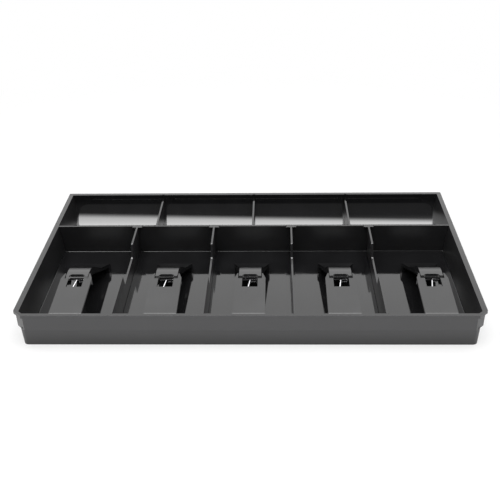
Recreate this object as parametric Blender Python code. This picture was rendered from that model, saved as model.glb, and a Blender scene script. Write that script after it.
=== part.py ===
"""Cash register tray: a moulded tray with note and coin compartments, lift-out dividers and sprung clips.

Metres, +Z up, +X to the right. The origin is at the middle of the tray's base, and -Y is the front.
"""

import math

import bmesh
import bpy
from mathutils import Matrix, Vector

# Tray, outside
TRAY_WIDTH = 0.405
TRAY_DEPTH = 0.245
TRAY_HEIGHT = 0.033
RIM_CHAMFER = 0.008
BACK_CORNER = 0.001
FLANGE_THICKNESS = 0.003
FLANGE_REACH = 0.0019
SKIRT_HEIGHT = 0.0155
SKIRT_CHAMFER = 0.0075
SKIRT_LEAN_SIDES = 0.0002
SKIRT_LEAN_ENDS = 0.0008
STEP_SIDES = 0.003
STEP_ENDS = 0.001
BAND_LEAN_SIDES = 0.0003
BAND_LEAN_ENDS = 0.003
BAND_CORNER = 0.0045

# Tray, inside
SIDE_RIM = 0.0045
FRONT_RIM = 0.0035
BACK_RIM = 0.0045
WALL_LEAN = 0.0045
FLOOR_LEVEL = 0.0048
FLOOR_THICKNESS = 0.0024
WELL_CHAMFER = 0.0034
WELL_FILLET = 0.0015
NOTE_WELL_LENGTH = 0.162
CROSS_WALL = 0.002
CROSS_LEAN = 0.0015
COIN_FILLET = 0.003
SCOOP_RADIUS = 0.025
BASE_RING = 0.004
RIB_THICKNESS = 0.003
HOLLOW_CORNER = 0.002

# Dividers
CLEARANCE = 0.0003
GROOVE_DEPTH = 0.0008
BLADE = 0.0018
NOTE_DIVIDERS = 4
NOTE_END_MARGIN = 0.00725
NOTE_DIP = 0.012
DIP_START = 0.0645
DIP_BOTTOM_START = 0.071
DIP_BOTTOM_END = 0.121
DIP_END = 0.128
DIP_ROUND = 0.003
HOOK_WIDTH = 0.0095
HOOK_HEIGHT = 0.0015
HOOK_REACH = 0.0022
COIN_DIVIDERS = 3
COIN_TOP_DROP = 0.004

# Note clips: how far each sits from the middle of its place in the row
CLIP_OFFSETS = (-0.0011, 0.0023, 0.0, 0.0036, 0.0072)
PIVOT_FROM_FRONT = 0.062
PIVOT_BELOW_RIM = 0.0012
BARREL_RADIUS = 0.005
PIN_RADIUS = 0.001
PIN_INSET = 0.0022

# Lever, the sprung paddle of a clip
LEVER_WIDTH = 0.028
LEVER_PLATE = 0.002
LEVER_TILT = math.radians(4.6)
TIP_CLEARANCE = 0.0009
TIP_TOP_ROUND = 0.0009
TIP_UNDER_ROUND = 0.0007
LEVER_RIB_SPACING = 0.017
LEVER_RIB = 0.0012
LEVER_RIB_HEIGHT = 0.0016
LEVER_RIB_START = 0.024
LEVER_RIB_END = 0.007
EAR_THICKNESS = 0.0034
EAR_REACH = 0.0038
EAR_ROUND = 0.0016
EAR_TAPER = 0.0028
EAR_TAPER_LENGTH = 0.0085
GUSSET_REACH = 0.0105
WINDOW_WIDTH = 0.0138
WINDOW_FRONT = 0.018
PLATE_GAP = 0.0009
SHELF_DROP = 0.002
SHELF_THICKNESS = 0.0012
SHELF_REACH = 0.002
SHELF_ROOT = 0.0005

# Bracket, the fixed arm of a clip
HEAD_HALF_WIDTH = 0.010
HEAD_FLAT = 0.005
HEAD_FRONT = 0.0019
SHOULDER_RADIUS = 0.036
ARM_LENGTH = 0.0599
ARM_HALF_WIDTH = 0.0117
ARM_THICKNESS = 0.002
ARM_DEPTH = 0.0065
CHEEK = 0.003
KNEE_FROM_FOOT = 0.0124
KNEE_HEIGHT = 0.0115
KNEE_DEPTH = 0.0034
FOOT_HALF_WIDTH = 0.0173
FOOT_HEIGHT = 0.0093
FOOT_LENGTH = 0.005
FOOT_FRONT = 0.0015
FOOT_BACK_HEIGHT = 0.0045
BRIDGE_START = -0.0033
LEDGE_LENGTH = 0.003
LEDGE_THICKNESS = 0.002
BRACKET_WINDOW_CORNER = 0.0015
POCKET_DEPTH = 0.0013
POCKET_BACK = 0.001
POCKET_SLOPE = math.radians(10)
POCKET_CORNER = 0.003
STOP_REACH = 0.0085
STOP_HEIGHT = 0.003
STOP_ROUND = 0.0008
SOLE_HALF_WIDTH = 0.0115
SOLE_LENGTH = 0.012
SOLE_THICKNESS = 0.002
PEG_SPACING = 0.014
PEG_RADIUS = 0.002
PEG_LIP = 0.0006
PEG_HEAD = 0.0014

# Spring, a torsion coil on the pin
WIRE = 0.0014
COIL_RADIUS = 0.0020
COIL_TURNS = 3
COIL_LEFT = 0.0006
COIL_RIGHT = 0.0062
COIL_POINTS = 10
LEG_SLANT = 0.0024
BACK_LEG = 0.010
BACK_LEG_SLOPE = math.radians(1.5)
LEG_POINTS = 4

ROUND_SEGMENTS = 16
OVERCUT = 0.001

rim_z = TRAY_HEIGHT
front_y = -TRAY_DEPTH / 2
note_front_y = front_y + FRONT_RIM
cross_front_y = note_front_y + NOTE_WELL_LENGTH
cross_back_y = cross_front_y + CROSS_WALL
coin_back_y = TRAY_DEPTH / 2 - BACK_RIM
note_pitch = (TRAY_WIDTH - 2 * NOTE_END_MARGIN) / (NOTE_DIVIDERS + 1)
coin_pitch = (TRAY_WIDTH - 2 * SIDE_RIM) / (COIN_DIVIDERS + 1)
well_depth = rim_z - FLOOR_LEVEL
pivot = Vector((0.0, front_y + PIVOT_FROM_FRONT, rim_z - PIVOT_BELOW_RIM))
floor_below_pivot = FLOOR_LEVEL - pivot.z
peg_hole_radius = PEG_RADIUS + CLEARANCE
bore_radius = PIN_RADIUS + CLEARANCE
lever_reach = PIVOT_FROM_FRONT - FRONT_RIM - TIP_CLEARANCE
plate_end = math.sqrt((BARREL_RADIUS + PLATE_GAP) ** 2 - (BARREL_RADIUS - LEVER_PLATE) ** 2)
skirt_foot_inset = (FLANGE_REACH + SKIRT_LEAN_SIDES, SKIRT_LEAN_ENDS)
band_inset = (skirt_foot_inset[0] + STEP_SIDES, skirt_foot_inset[1] + STEP_ENDS)


def remove_everything():
    for obj in list(bpy.data.objects):
        bpy.data.objects.remove(obj, do_unlink=True)


def make_collection(name):
    collection = bpy.data.collections.new(name)
    bpy.context.scene.collection.children.link(collection)
    return collection


def make_material(name, color, roughness, metallic=0.0):
    material = bpy.data.materials.new(name)
    material.use_nodes = True
    shader = material.node_tree.nodes["Principled BSDF"]
    shader.inputs["Base Color"].default_value = (*color, 1.0)
    shader.inputs["Roughness"].default_value = roughness
    shader.inputs["Metallic"].default_value = metallic
    return material


remove_everything()
parts = make_collection("cash_register_tray")
cutters = make_collection("cutters")


def add_object(name, mesh, collection):
    obj = bpy.data.objects.new(name, mesh)
    collection.objects.link(obj)
    if collection is cutters:
        obj.hide_render = True
        obj.display_type = "WIRE"
    return obj


def mesh_from(bm, name):
    bmesh.ops.recalc_face_normals(bm, faces=bm.faces)
    mesh = bpy.data.meshes.new(name)
    bm.to_mesh(mesh)
    bm.free()
    return mesh


def bevel_upright(bm, offset, segments, wanted=None):
    """Bevels the upright edges, or only those that lie where wanted says."""
    edges = []
    for edge in bm.edges:
        a, b = (vertex.co for vertex in edge.verts)
        if abs(a.z - b.z) > abs(a.x - b.x) + abs(a.y - b.y) and (wanted is None or wanted((a + b) / 2)):
            edges.append(edge)
    bmesh.ops.bevel(bm, geom=edges, offset=offset, segments=segments, profile=0.5, affect="EDGES")


def box_mesh(x_range, y_range, z_range):
    bm = bmesh.new()
    bmesh.ops.create_cube(bm, size=1.0)
    low = Vector((x_range[0], y_range[0], z_range[0]))
    high = Vector((x_range[1], y_range[1], z_range[1]))
    for vertex in bm.verts:
        vertex.co = Vector(high[i] if vertex.co[i] > 0 else low[i] for i in range(3))
    return bm


def block(name, x_range, y_range, z_range, corner=0.0, collection=cutters):
    """A box, with its upright edges rounded where a corner radius is given."""
    bm = box_mesh(x_range, y_range, z_range)
    if corner:
        bevel_upright(bm, corner, 4)
    return add_object(name, mesh_from(bm, name), collection)


def cylinder_x(name, radius, half_length, centre=(0.0, 0.0, 0.0), collection=cutters):
    """A cylinder along X."""
    bm = bmesh.new()
    bmesh.ops.create_cone(
        bm,
        cap_ends=True,
        segments=ROUND_SEGMENTS,
        radius1=radius,
        radius2=radius,
        depth=2 * half_length,
        matrix=Matrix.Translation(centre) @ Matrix.Rotation(math.pi / 2, 4, "Y"),
    )
    return add_object(name, mesh_from(bm, name), collection)


def cone_z(name, bottom_radius, top_radius, z_range, centre, collection=cutters):
    """A cylinder or a frustum along Z."""
    bm = bmesh.new()
    middle = Vector((centre[0], centre[1], (z_range[0] + z_range[1]) / 2))
    bmesh.ops.create_cone(
        bm,
        cap_ends=True,
        segments=ROUND_SEGMENTS,
        radius1=bottom_radius,
        radius2=top_radius,
        depth=z_range[1] - z_range[0],
        matrix=Matrix.Translation(middle),
    )
    return add_object(name, mesh_from(bm, name), collection)


def mesh_of_curve(obj, name):
    """The curve's mesh with its caps welded on, in world coordinates. The curve is removed."""
    bpy.context.view_layer.update()
    graph = bpy.context.evaluated_depsgraph_get()
    mesh = bpy.data.meshes.new_from_object(obj.evaluated_get(graph))
    mesh.transform(obj.matrix_world)
    bpy.data.objects.remove(obj, do_unlink=True)
    bm = bmesh.new()
    bm.from_mesh(mesh)
    bmesh.ops.remove_doubles(bm, verts=bm.verts, dist=1e-6)
    bpy.data.meshes.remove(mesh)
    return mesh_from(bm, name)


def slab(name, outline, x_range, collection=cutters):
    """A flat outline in the YZ plane, carried along X from one end of x_range to the other."""
    curve = bpy.data.curves.new(name, "CURVE")
    curve.dimensions = "2D"
    curve.fill_mode = "BOTH"
    curve.extrude = (x_range[1] - x_range[0]) / 2
    spline = curve.splines.new("POLY")
    spline.points.add(len(outline) - 1)
    for point, (y, z) in zip(spline.points, outline):
        point.co = (y, z, 0.0, 1.0)
    spline.use_cyclic_u = True
    flat = bpy.data.objects.new(name + "_outline", curve)
    cutters.objects.link(flat)
    across_to_x = Matrix(((0, 0, 1, 0), (1, 0, 0, 0), (0, 1, 0, 0), (0, 0, 0, 1)))
    flat.matrix_world = Matrix.Translation((sum(x_range) / 2, 0, 0)) @ across_to_x
    return add_object(name, mesh_of_curve(flat, name), collection)


def rounded(corners, steps=4):
    """An outline through (y, z, radius) corners, each with a radius turned into an arc."""
    outline = []
    for i, (y, z, radius) in enumerate(corners):
        corner = Vector((y, z))
        if not radius:
            outline.append(tuple(corner))
            continue
        before = (Vector(corners[i - 1][:2]) - corner).normalized()
        after = (Vector(corners[(i + 1) % len(corners)][:2]) - corner).normalized()
        half = before.angle(after) / 2
        centre = corner + (before + after).normalized() * radius / math.sin(half)
        start = corner + before * radius / math.tan(half) - centre
        end = corner + after * radius / math.tan(half) - centre
        turn = math.atan2(start.x * end.y - start.y * end.x, start.dot(end))
        for step in range(steps + 1):
            outline.append(tuple(centre + Matrix.Rotation(turn * step / steps, 2) @ start))
    return outline


def arc(centre, radius, start, end, steps):
    """Points on a circle in the YZ plane, from one angle to another in degrees."""
    points = []
    for step in range(steps + 1):
        angle = math.radians(start + (end - start) * step / steps)
        points.append((centre[0] + radius * math.cos(angle), centre[1] + radius * math.sin(angle)))
    return points


def combine(target, tool, operation="DIFFERENCE", solver="EXACT"):
    modifier = target.modifiers.new(tool.name, "BOOLEAN")
    modifier.operation = operation
    modifier.solver = solver
    modifier.object = tool


def finished_mesh(obj, name):
    """The object's mesh with its modifiers carried out. The object is removed."""
    bpy.context.view_layer.update()
    graph = bpy.context.evaluated_depsgraph_get()
    mesh = bpy.data.meshes.new_from_object(obj.evaluated_get(graph))
    mesh.name = name
    bpy.data.objects.remove(obj, do_unlink=True)
    return mesh


def finish(obj, material):
    obj.data.materials.clear()
    obj.data.materials.append(material)
    obj.data.shade_smooth()
    obj.data.set_sharp_from_angle(angle=math.radians(30))


# Shapes shared by the tray and its dividers


def lean_share(z):
    """How far down the well a height lies: 0 at the rim, 1 at the floor."""
    return (rim_z - z) / well_depth


def note_outline(growth, top):
    """The note well's side outline, grown outwards and cut off at a height above it."""
    low = FLOOR_LEVEL - growth
    front_low = note_front_y + WALL_LEAN * lean_share(low) - growth
    front_top = note_front_y + WALL_LEAN * lean_share(top) - growth
    back_low = cross_front_y - CROSS_LEAN * lean_share(low) + growth
    back_top = cross_front_y - CROSS_LEAN * lean_share(top) + growth
    return [(front_low, low), (back_low, low), (back_top, top), (front_top, top)]


def coin_outline(growth, top, fillet=0.0):
    """The coin well's side outline with its scoop, grown outwards and cut off at a height."""
    low = FLOOR_LEVEL - growth
    front = cross_back_y - growth
    scoop_centre = (coin_back_y - SCOOP_RADIUS, FLOOR_LEVEL + SCOOP_RADIUS)
    scoop = arc(scoop_centre, SCOOP_RADIUS + growth, -90, 0, 8)
    if top > scoop_centre[1]:
        scoop.append((scoop[-1][0], top))
    else:
        scoop = [p for p in scoop if p[1] < top]
        height = top - scoop_centre[1]
        radius = SCOOP_RADIUS + growth
        scoop.append((scoop_centre[0] + math.sqrt(radius**2 - height**2), top))
    corner = rounded([(front, top, 0), (front, low, fillet), (scoop[0][0], low, 0)])[1:-1]
    return [(front, top)] + corner + scoop


def lean_ends(obj):
    """Moves the ends of a well's cutter in, so that the tray's side walls lean like the front one."""
    for vertex in obj.data.vertices:
        half = TRAY_WIDTH / 2 - SIDE_RIM - WALL_LEAN * lean_share(vertex.co.z)
        vertex.co.x = math.copysign(half, vertex.co.x)
    return obj


# Tray shell


def outer_block(name, z_range, insets_top, insets_bottom, front_corner, front_segments):
    """A band of the tray's outside, whose sides lean in from the first insets to the second."""
    half_x = TRAY_WIDTH / 2 - insets_top[0]
    half_y = TRAY_DEPTH / 2 - insets_top[1]
    bm = box_mesh((-half_x, half_x), (-half_y, half_y), z_range)
    bevel_upright(bm, front_corner, front_segments, lambda place: place.y < 0)
    bevel_upright(bm, BACK_CORNER, 2, lambda place: place.y > half_y / 2)
    height = z_range[1] - z_range[0]
    for vertex in bm.verts:
        share = (z_range[1] - vertex.co.z) / height
        vertex.co.x -= math.copysign((insets_bottom[0] - insets_top[0]) * share, vertex.co.x)
        vertex.co.y -= math.copysign((insets_bottom[1] - insets_top[1]) * share, vertex.co.y)
    return add_object(name, mesh_from(bm, name), cutters)


def note_well_cutter():
    """The note well: walls that lean, chamfered front corners and a fillet round the floor."""
    half = TRAY_WIDTH / 2 - SIDE_RIM
    top = rim_z + OVERCUT
    bm = box_mesh((-half, half), (note_front_y, cross_front_y), (FLOOR_LEVEL, top))
    bevel_upright(bm, WELL_CHAMFER, 1, lambda place: place.y < 0)
    bottom = [e for e in bm.edges if max(v.co.z for v in e.verts) < FLOOR_LEVEL + 1e-7]
    bmesh.ops.bevel(bm, geom=bottom, offset=WELL_FILLET, segments=2, profile=0.5, affect="EDGES")
    middle_y = (note_front_y + cross_front_y) / 2
    for vertex in bm.verts:
        share = lean_share(vertex.co.z)
        vertex.co.x -= math.copysign(WALL_LEAN * share, vertex.co.x)
        vertex.co.y += WALL_LEAN * share if vertex.co.y < middle_y else -CROSS_LEAN * share
    return add_object("note_well", mesh_from(bm, "note_well"), cutters)


def compartment_edges():
    """X of the under-floor ribs, which stand below the note dividers."""
    return [note_pitch * (i - (NOTE_DIVIDERS - 1) / 2) for i in range(NOTE_DIVIDERS)]


def coin_divider_places():
    return [coin_pitch * (i - (COIN_DIVIDERS - 1) / 2) for i in range(COIN_DIVIDERS)]


def clip_places():
    middle = (len(CLIP_OFFSETS) - 1) / 2
    return [note_pitch * (i - middle) + offset for i, offset in enumerate(CLIP_OFFSETS)]


def under_floor_cutters():
    """Hollows below the floor, which leave a ring round the base and a rib below each divider."""
    base_x = TRAY_WIDTH / 2 - band_inset[0] - BAND_LEAN_SIDES - BASE_RING
    base_y = TRAY_DEPTH / 2 - band_inset[1] - BAND_LEAN_ENDS - BASE_RING
    z_range = (-OVERCUT, FLOOR_LEVEL - FLOOR_THICKNESS)
    edges = [-base_x] + compartment_edges() + [base_x]
    rib_y = (cross_front_y + cross_back_y) / 2
    hollows = []
    for i, (left, right) in enumerate(zip(edges, edges[1:])):
        left += RIB_THICKNESS / 2 if i else 0.0
        right -= RIB_THICKNESS / 2 if i < NOTE_DIVIDERS else 0.0
        y_range = (-base_y, rib_y - RIB_THICKNESS / 2)
        hollows.append(block(f"note_hollow_{i + 1}", (left, right), y_range, z_range, HOLLOW_CORNER))
    under = FLOOR_THICKNESS
    scoop_centre = (coin_back_y - SCOOP_RADIUS, FLOOR_LEVEL + SCOOP_RADIUS)
    scoop = [p for p in arc(scoop_centre, SCOOP_RADIUS + under, -90, 0, 8) if p[0] < base_y]
    front = rib_y + RIB_THICKNESS / 2
    outline = [(front, -OVERCUT), (front, z_range[1])] + scoop
    outline += [(base_y, scoop[-1][1]), (base_y, -OVERCUT)]
    hollows.append(slab("coin_hollow", outline, (-base_x, base_x)))
    return hollows


def make_tray():
    step_z = rim_z - SKIRT_HEIGHT
    flange_z = rim_z - FLANGE_THICKNESS
    base_inset = (band_inset[0] + BAND_LEAN_SIDES, band_inset[1] + BAND_LEAN_ENDS)
    flush = (0.0, 0.0)
    skirt_z = (step_z, flange_z + OVERCUT)
    tray = outer_block("tray_shell", (flange_z, rim_z), flush, flush, RIM_CHAMFER, 1)
    skirt = outer_block("skirt", skirt_z, (FLANGE_REACH, 0.0), skirt_foot_inset, SKIRT_CHAMFER, 1)
    band = outer_block("lower_band", (0.0, step_z + OVERCUT), band_inset, base_inset, BAND_CORNER, 4)
    cutters.objects.unlink(tray)
    parts.objects.link(tray)
    tray.hide_render = False
    tray.display_type = "TEXTURED"
    combine(tray, skirt, "UNION")
    combine(tray, band, "UNION")
    combine(tray, note_well_cutter())
    top = rim_z + OVERCUT
    side = TRAY_WIDTH / 2 - SIDE_RIM
    coin_well = slab("coin_well", coin_outline(0.0, top, COIN_FILLET), (-side, side))
    combine(tray, lean_ends(coin_well))
    for hollow in under_floor_cutters():
        combine(tray, hollow)
    half_slot = BLADE / 2 + CLEARANCE
    for i, x in enumerate(compartment_edges()):
        outline = note_outline(GROOVE_DEPTH, top)
        groove = slab(f"note_groove_{i + 1}", outline, (x - half_slot, x + half_slot))
        combine(tray, groove)
        half_hook = HOOK_WIDTH / 2 + CLEARANCE
        notch = block(
            f"hook_notch_{i + 1}",
            (x - half_hook, x + half_hook),
            (cross_front_y - OVERCUT, cross_back_y + OVERCUT),
            (rim_z - HOOK_HEIGHT - CLEARANCE, top),
        )
        combine(tray, notch)
    for i, x in enumerate(coin_divider_places()):
        outline = coin_outline(GROOVE_DEPTH, top)
        groove = slab(f"coin_groove_{i + 1}", outline, (x - half_slot, x + half_slot))
        combine(tray, groove)
    for i, clip_x in enumerate(clip_places()):
        for side_name, sign in (("left", -1), ("right", 1)):
            hole = cone_z(
                f"peg_hole_{i + 1}_{side_name}",
                peg_hole_radius,
                peg_hole_radius,
                (-OVERCUT, FLOOR_LEVEL + OVERCUT),
                (clip_x + sign * PEG_SPACING / 2, pivot.y + peg_y()),
            )
            combine(tray, hole)
    return tray


# Dividers


def note_divider_outline():
    fit = GROOVE_DEPTH - CLEARANCE
    low = FLOOR_LEVEL - fit
    front_low, back_low, back_top, front_top = (p[0] for p in note_outline(fit, rim_z))
    dip = rim_z - NOTE_DIP
    return rounded(
        [
            (front_low, low, 0),
            (back_low, low, 0),
            (back_top, rim_z, 0),
            (front_y + DIP_END, rim_z, DIP_ROUND / 2),
            (front_y + DIP_BOTTOM_END, dip, DIP_ROUND),
            (front_y + DIP_BOTTOM_START, dip, DIP_ROUND),
            (front_y + DIP_START, rim_z, DIP_ROUND / 2),
            (front_top, rim_z, 0),
        ]
    )


def make_note_divider():
    """The blade of a note divider, with the hook that lies in the cross wall's notch."""
    blade = slab("note_divider_blade", note_divider_outline(), (-BLADE / 2, BLADE / 2))
    hook = block(
        "note_divider_hook",
        (-HOOK_WIDTH / 2, HOOK_WIDTH / 2),
        (cross_front_y - HOOK_REACH, cross_back_y),
        (rim_z - HOOK_HEIGHT, rim_z),
    )
    combine(blade, hook, "UNION")
    return finished_mesh(blade, "note_divider")


def make_coin_divider():
    fit = GROOVE_DEPTH - CLEARANCE
    blade = slab("coin_divider_blade", coin_outline(fit, rim_z - COIN_TOP_DROP), (-BLADE / 2, BLADE / 2))
    return finished_mesh(blade, "coin_divider")


# Note clip, modelled about its pivot


def arm_knots():
    """Corners of the bracket's top line: the knee, and the foot's front and back edges."""
    sole_z = floor_below_pivot + CLEARANCE
    return [
        (ARM_LENGTH - KNEE_FROM_FOOT, sole_z + KNEE_HEIGHT),
        (ARM_LENGTH, sole_z + FOOT_HEIGHT),
        (ARM_LENGTH + FOOT_LENGTH, sole_z + FOOT_BACK_HEIGHT),
    ]


def arm_slope():
    """How steeply the arm falls from its shoulder to the knee, in degrees."""
    knee = arm_knots()[0]
    across = knee[0] - HEAD_FLAT
    down = BARREL_RADIUS - SHOULDER_RADIUS - knee[1]
    round_share = math.asin(SHOULDER_RADIUS / math.hypot(across, down))
    return math.degrees(math.atan2(down, across) + round_share)


def shoulder(depth):
    """The arc where the head's flat top turns down, from the front, at a depth below the surface."""
    centre = (HEAD_FLAT, BARREL_RADIUS - SHOULDER_RADIUS)
    return arc(centre, SHOULDER_RADIUS - depth, 90, 90 - arm_slope(), 4)


def arm_half_width(y):
    """The arm widens slowly from the shoulder to the knee, and then flares out to the foot."""
    start = shoulder(0.0)[-1][0]
    knee = ARM_LENGTH - KNEE_FROM_FOOT
    if y < knee:
        share = (y - start) / (knee - start)
        return HEAD_HALF_WIDTH + (ARM_HALF_WIDTH - HEAD_HALF_WIDTH) * max(share, 0.0)
    share = (y - knee) / KNEE_FROM_FOOT
    return ARM_HALF_WIDTH + (FOOT_HALF_WIDTH - ARM_HALF_WIDTH) * min(share, 1.0)


def widen(obj, inset=0.0):
    for vertex in obj.data.vertices:
        vertex.co.x = math.copysign(arm_half_width(vertex.co.y) - inset, vertex.co.x)
    return obj


def peg_y():
    return ARM_LENGTH - SOLE_LENGTH / 2


def bracket_outline():
    """The bracket's side: down the head's slanting front, round the barrel, and back along the arm."""
    sole_z = floor_below_pivot + CLEARANCE
    knee, foot, heel = arm_knots()
    start = math.degrees(math.asin((BARREL_RADIUS - ARM_DEPTH) / BARREL_RADIUS))
    face_distance = (HEAD_FRONT + BARREL_RADIUS) / math.sqrt(2)
    face_end = 135 + math.degrees(math.acos(face_distance / BARREL_RADIUS))
    barrel = [(-HEAD_FRONT, BARREL_RADIUS)] + arc((0.0, 0.0), BARREL_RADIUS, face_end, 360 + start, 14)
    foot_front = foot[0] - FOOT_FRONT
    under = shoulder(ARM_DEPTH) + [(knee[0], knee[1] - KNEE_DEPTH), (foot_front, foot[1] - KNEE_DEPTH)]
    sole = [(foot_front, sole_z), (heel[0], sole_z)]
    return barrel + under + sole + [heel, foot, knee] + shoulder(0.0)[::-1]


def head_pocket(half_width):
    """A hollow in the head's top, which opens forwards and whose floor rises towards the lever."""
    low, high = BARREL_RADIUS - POCKET_DEPTH, BARREL_RADIUS + OVERCUT
    y_range = (-BARREL_RADIUS - OVERCUT, POCKET_BACK)
    pocket = block("bracket_pocket", (-half_width, half_width), y_range, (low, high), POCKET_CORNER)
    for vertex in pocket.data.vertices:
        if vertex.co.z < BARREL_RADIUS:
            vertex.co.z += (POCKET_BACK - vertex.co.y) * math.tan(POCKET_SLOPE)
    return pocket


def make_bracket():
    sole_z = floor_below_pivot + CLEARANCE
    bracket = widen(slab("bracket_arm", bracket_outline(), (-HEAD_HALF_WIDTH, HEAD_HALF_WIDTH)))
    knee, foot, heel = arm_knots()
    inner_end = heel[0] - CHEEK
    fall = (inner_end - foot[0]) / FOOT_LENGTH
    heel_roof = (inner_end, foot[1] + (heel[1] - foot[1]) * fall - ARM_THICKNESS)
    front = (-BARREL_RADIUS - OVERCUT, BARREL_RADIUS - ARM_THICKNESS)
    roof = [(y, z - ARM_THICKNESS) for y, z in (knee, foot)]
    roof = [front] + shoulder(ARM_THICKNESS) + roof + [heel_roof]
    floor = [(y, sole_z - OVERCUT) for y, _ in reversed(roof)]
    channel = widen(slab("bracket_channel", roof + floor, (-HEAD_HALF_WIDTH, HEAD_HALF_WIDTH)), CHEEK)
    half_window = HEAD_HALF_WIDTH - CHEEK
    reach = STOP_REACH + OVERCUT
    window = block(
        "bracket_window",
        (-half_window, half_window),
        (-reach - BARREL_RADIUS, BRIDGE_START),
        (-reach, reach),
        BRACKET_WINDOW_CORNER,
    )
    stop_top = BARREL_RADIUS - LEVER_PLATE - CLEARANCE
    nose = slab(
        "bracket_stop",
        rounded(
            [
                (0.0, stop_top, 0),
                (-STOP_REACH, stop_top, STOP_ROUND),
                (-STOP_REACH, stop_top - STOP_HEIGHT, STOP_ROUND),
                (0.0, -BARREL_RADIUS / 2, 0),
            ]
        ),
        (-HEAD_HALF_WIDTH, HEAD_HALF_WIDTH),
    )
    nose.data.transform(Matrix.Rotation(LEVER_TILT, 4, "X"))
    combine(bracket, nose, "UNION")
    combine(bracket, channel)
    combine(bracket, window)
    combine(bracket, head_pocket(half_window))
    leg_under = COIL_RADIUS - BACK_LEG * math.sin(BACK_LEG_SLOPE) - WIRE / 2
    ledge_half = HEAD_HALF_WIDTH - CHEEK / 2
    ledge = block(
        "bracket_ledge",
        (-ledge_half, ledge_half),
        (BACK_LEG - LEDGE_LENGTH, BACK_LEG),
        (leg_under - CLEARANCE - LEDGE_THICKNESS, leg_under - CLEARANCE),
    )
    combine(bracket, ledge, "UNION")
    sole = block(
        "bracket_sole",
        (-SOLE_HALF_WIDTH, SOLE_HALF_WIDTH),
        (ARM_LENGTH - SOLE_LENGTH, heel[0] - CHEEK / 2),
        (sole_z, sole_z + SOLE_THICKNESS),
    )
    combine(bracket, sole, "UNION")
    under_floor = floor_below_pivot - FLOOR_THICKNESS - CLEARANCE
    for side_name, sign in (("left", -1), ("right", 1)):
        centre = (sign * PEG_SPACING / 2, peg_y())
        shank_z = (under_floor - PEG_HEAD / 2, sole_z + SOLE_THICKNESS / 2)
        shank = cone_z(f"peg_{side_name}", PEG_RADIUS, PEG_RADIUS, shank_z, centre)
        head = cone_z(
            f"peg_head_{side_name}",
            PEG_RADIUS - PEG_LIP,
            PEG_RADIUS + PEG_LIP,
            (under_floor - PEG_HEAD, under_floor),
            centre,
        )
        combine(bracket, shank, "UNION")
        combine(bracket, head, "UNION")
    combine(bracket, cylinder_x("bracket_bore", bore_radius, HEAD_HALF_WIDTH + OVERCUT))
    return finished_mesh(bracket, "clip_bracket")


def lever_shelf(under, half_window):
    """The wall and ledge below the window's front edge, which the spring's leg presses on."""
    top = under - SHELF_DROP
    low = top - SHELF_THICKNESS
    front = -WINDOW_FRONT - SHELF_THICKNESS
    wall_back = -WINDOW_FRONT - CLEARANCE
    ledge_back = -WINDOW_FRONT + SHELF_REACH
    wall_top = under + SHELF_ROOT
    wall = [(wall_back, top), (wall_back, wall_top), (front, wall_top), (front, low)]
    return slab("lever_shelf", wall + [(ledge_back, low), (ledge_back, top)], (-half_window, half_window))


def make_lever():
    half = LEVER_WIDTH / 2
    top = BARREL_RADIUS
    under = top - LEVER_PLATE
    tip = -lever_reach
    outline = rounded(
        [
            (tip, top, TIP_TOP_ROUND),
            (EAR_REACH, top, EAR_ROUND),
            (EAR_REACH, -EAR_REACH, EAR_ROUND),
            (-EAR_REACH, -EAR_REACH, EAR_ROUND),
            (-GUSSET_REACH, under, EAR_ROUND),
            (tip, under, TIP_UNDER_ROUND),
        ]
    )
    lever = slab("lever_body", outline, (-half, half))
    ear_inner = half - EAR_THICKNESS
    behind = EAR_REACH + OVERCUT
    high = top + OVERCUT
    low = -EAR_REACH - OVERCUT
    front = -GUSSET_REACH - OVERCUT
    hollow = [(front, under), (-plate_end, under), (-plate_end, high), (behind, high), (behind, low), (front, low)]
    combine(lever, slab("lever_hollow", hollow, (-ear_inner, ear_inner)), solver="MANIFOLD")
    half_window = WINDOW_WIDTH / 2
    window = block("lever_window", (-half_window, half_window), (-WINDOW_FRONT, 0.0), (under - top, 2 * top))
    combine(lever, window, solver="MANIFOLD")
    combine(lever, lever_shelf(under, half_window), "UNION", "MANIFOLD")
    for side_name, sign in (("left", -1), ("right", 1)):
        x = sign * LEVER_RIB_SPACING / 2
        rib_y = (tip + LEVER_RIB_END, -LEVER_RIB_START)
        rib_z = (under - LEVER_RIB_HEIGHT, under + SHELF_ROOT)
        rib = block(f"lever_rib_{side_name}", (x - LEVER_RIB / 2, x + LEVER_RIB / 2), rib_y, rib_z)
        combine(lever, rib, "UNION", "MANIFOLD")
        size = EAR_TAPER_LENGTH
        corner = block(f"lever_taper_{side_name}", (-size, size), (-size, size), (-2 * top, 2 * top))
        middle = Vector((sign * (half - EAR_TAPER / 2), EAR_REACH - EAR_TAPER_LENGTH / 2, 0.0))
        outward = Vector((sign * EAR_TAPER_LENGTH, EAR_TAPER, 0.0)).normalized()
        turn = Matrix.Rotation(sign * math.atan2(EAR_TAPER, EAR_TAPER_LENGTH), 4, "Z")
        corner.data.transform(Matrix.Translation(middle + outward * size) @ turn)
        combine(lever, corner, solver="MANIFOLD")
    combine(lever, cylinder_x("lever_bore", bore_radius, half + OVERCUT), solver="MANIFOLD")
    mesh = finished_mesh(lever, "clip_lever")
    mesh.transform(Matrix.Rotation(LEVER_TILT, 4, "X"))
    return mesh


def make_pin():
    pin = cylinder_x("pin", PIN_RADIUS, LEVER_WIDTH / 2 - PIN_INSET)
    return finished_mesh(pin, "clip_pin")


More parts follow.
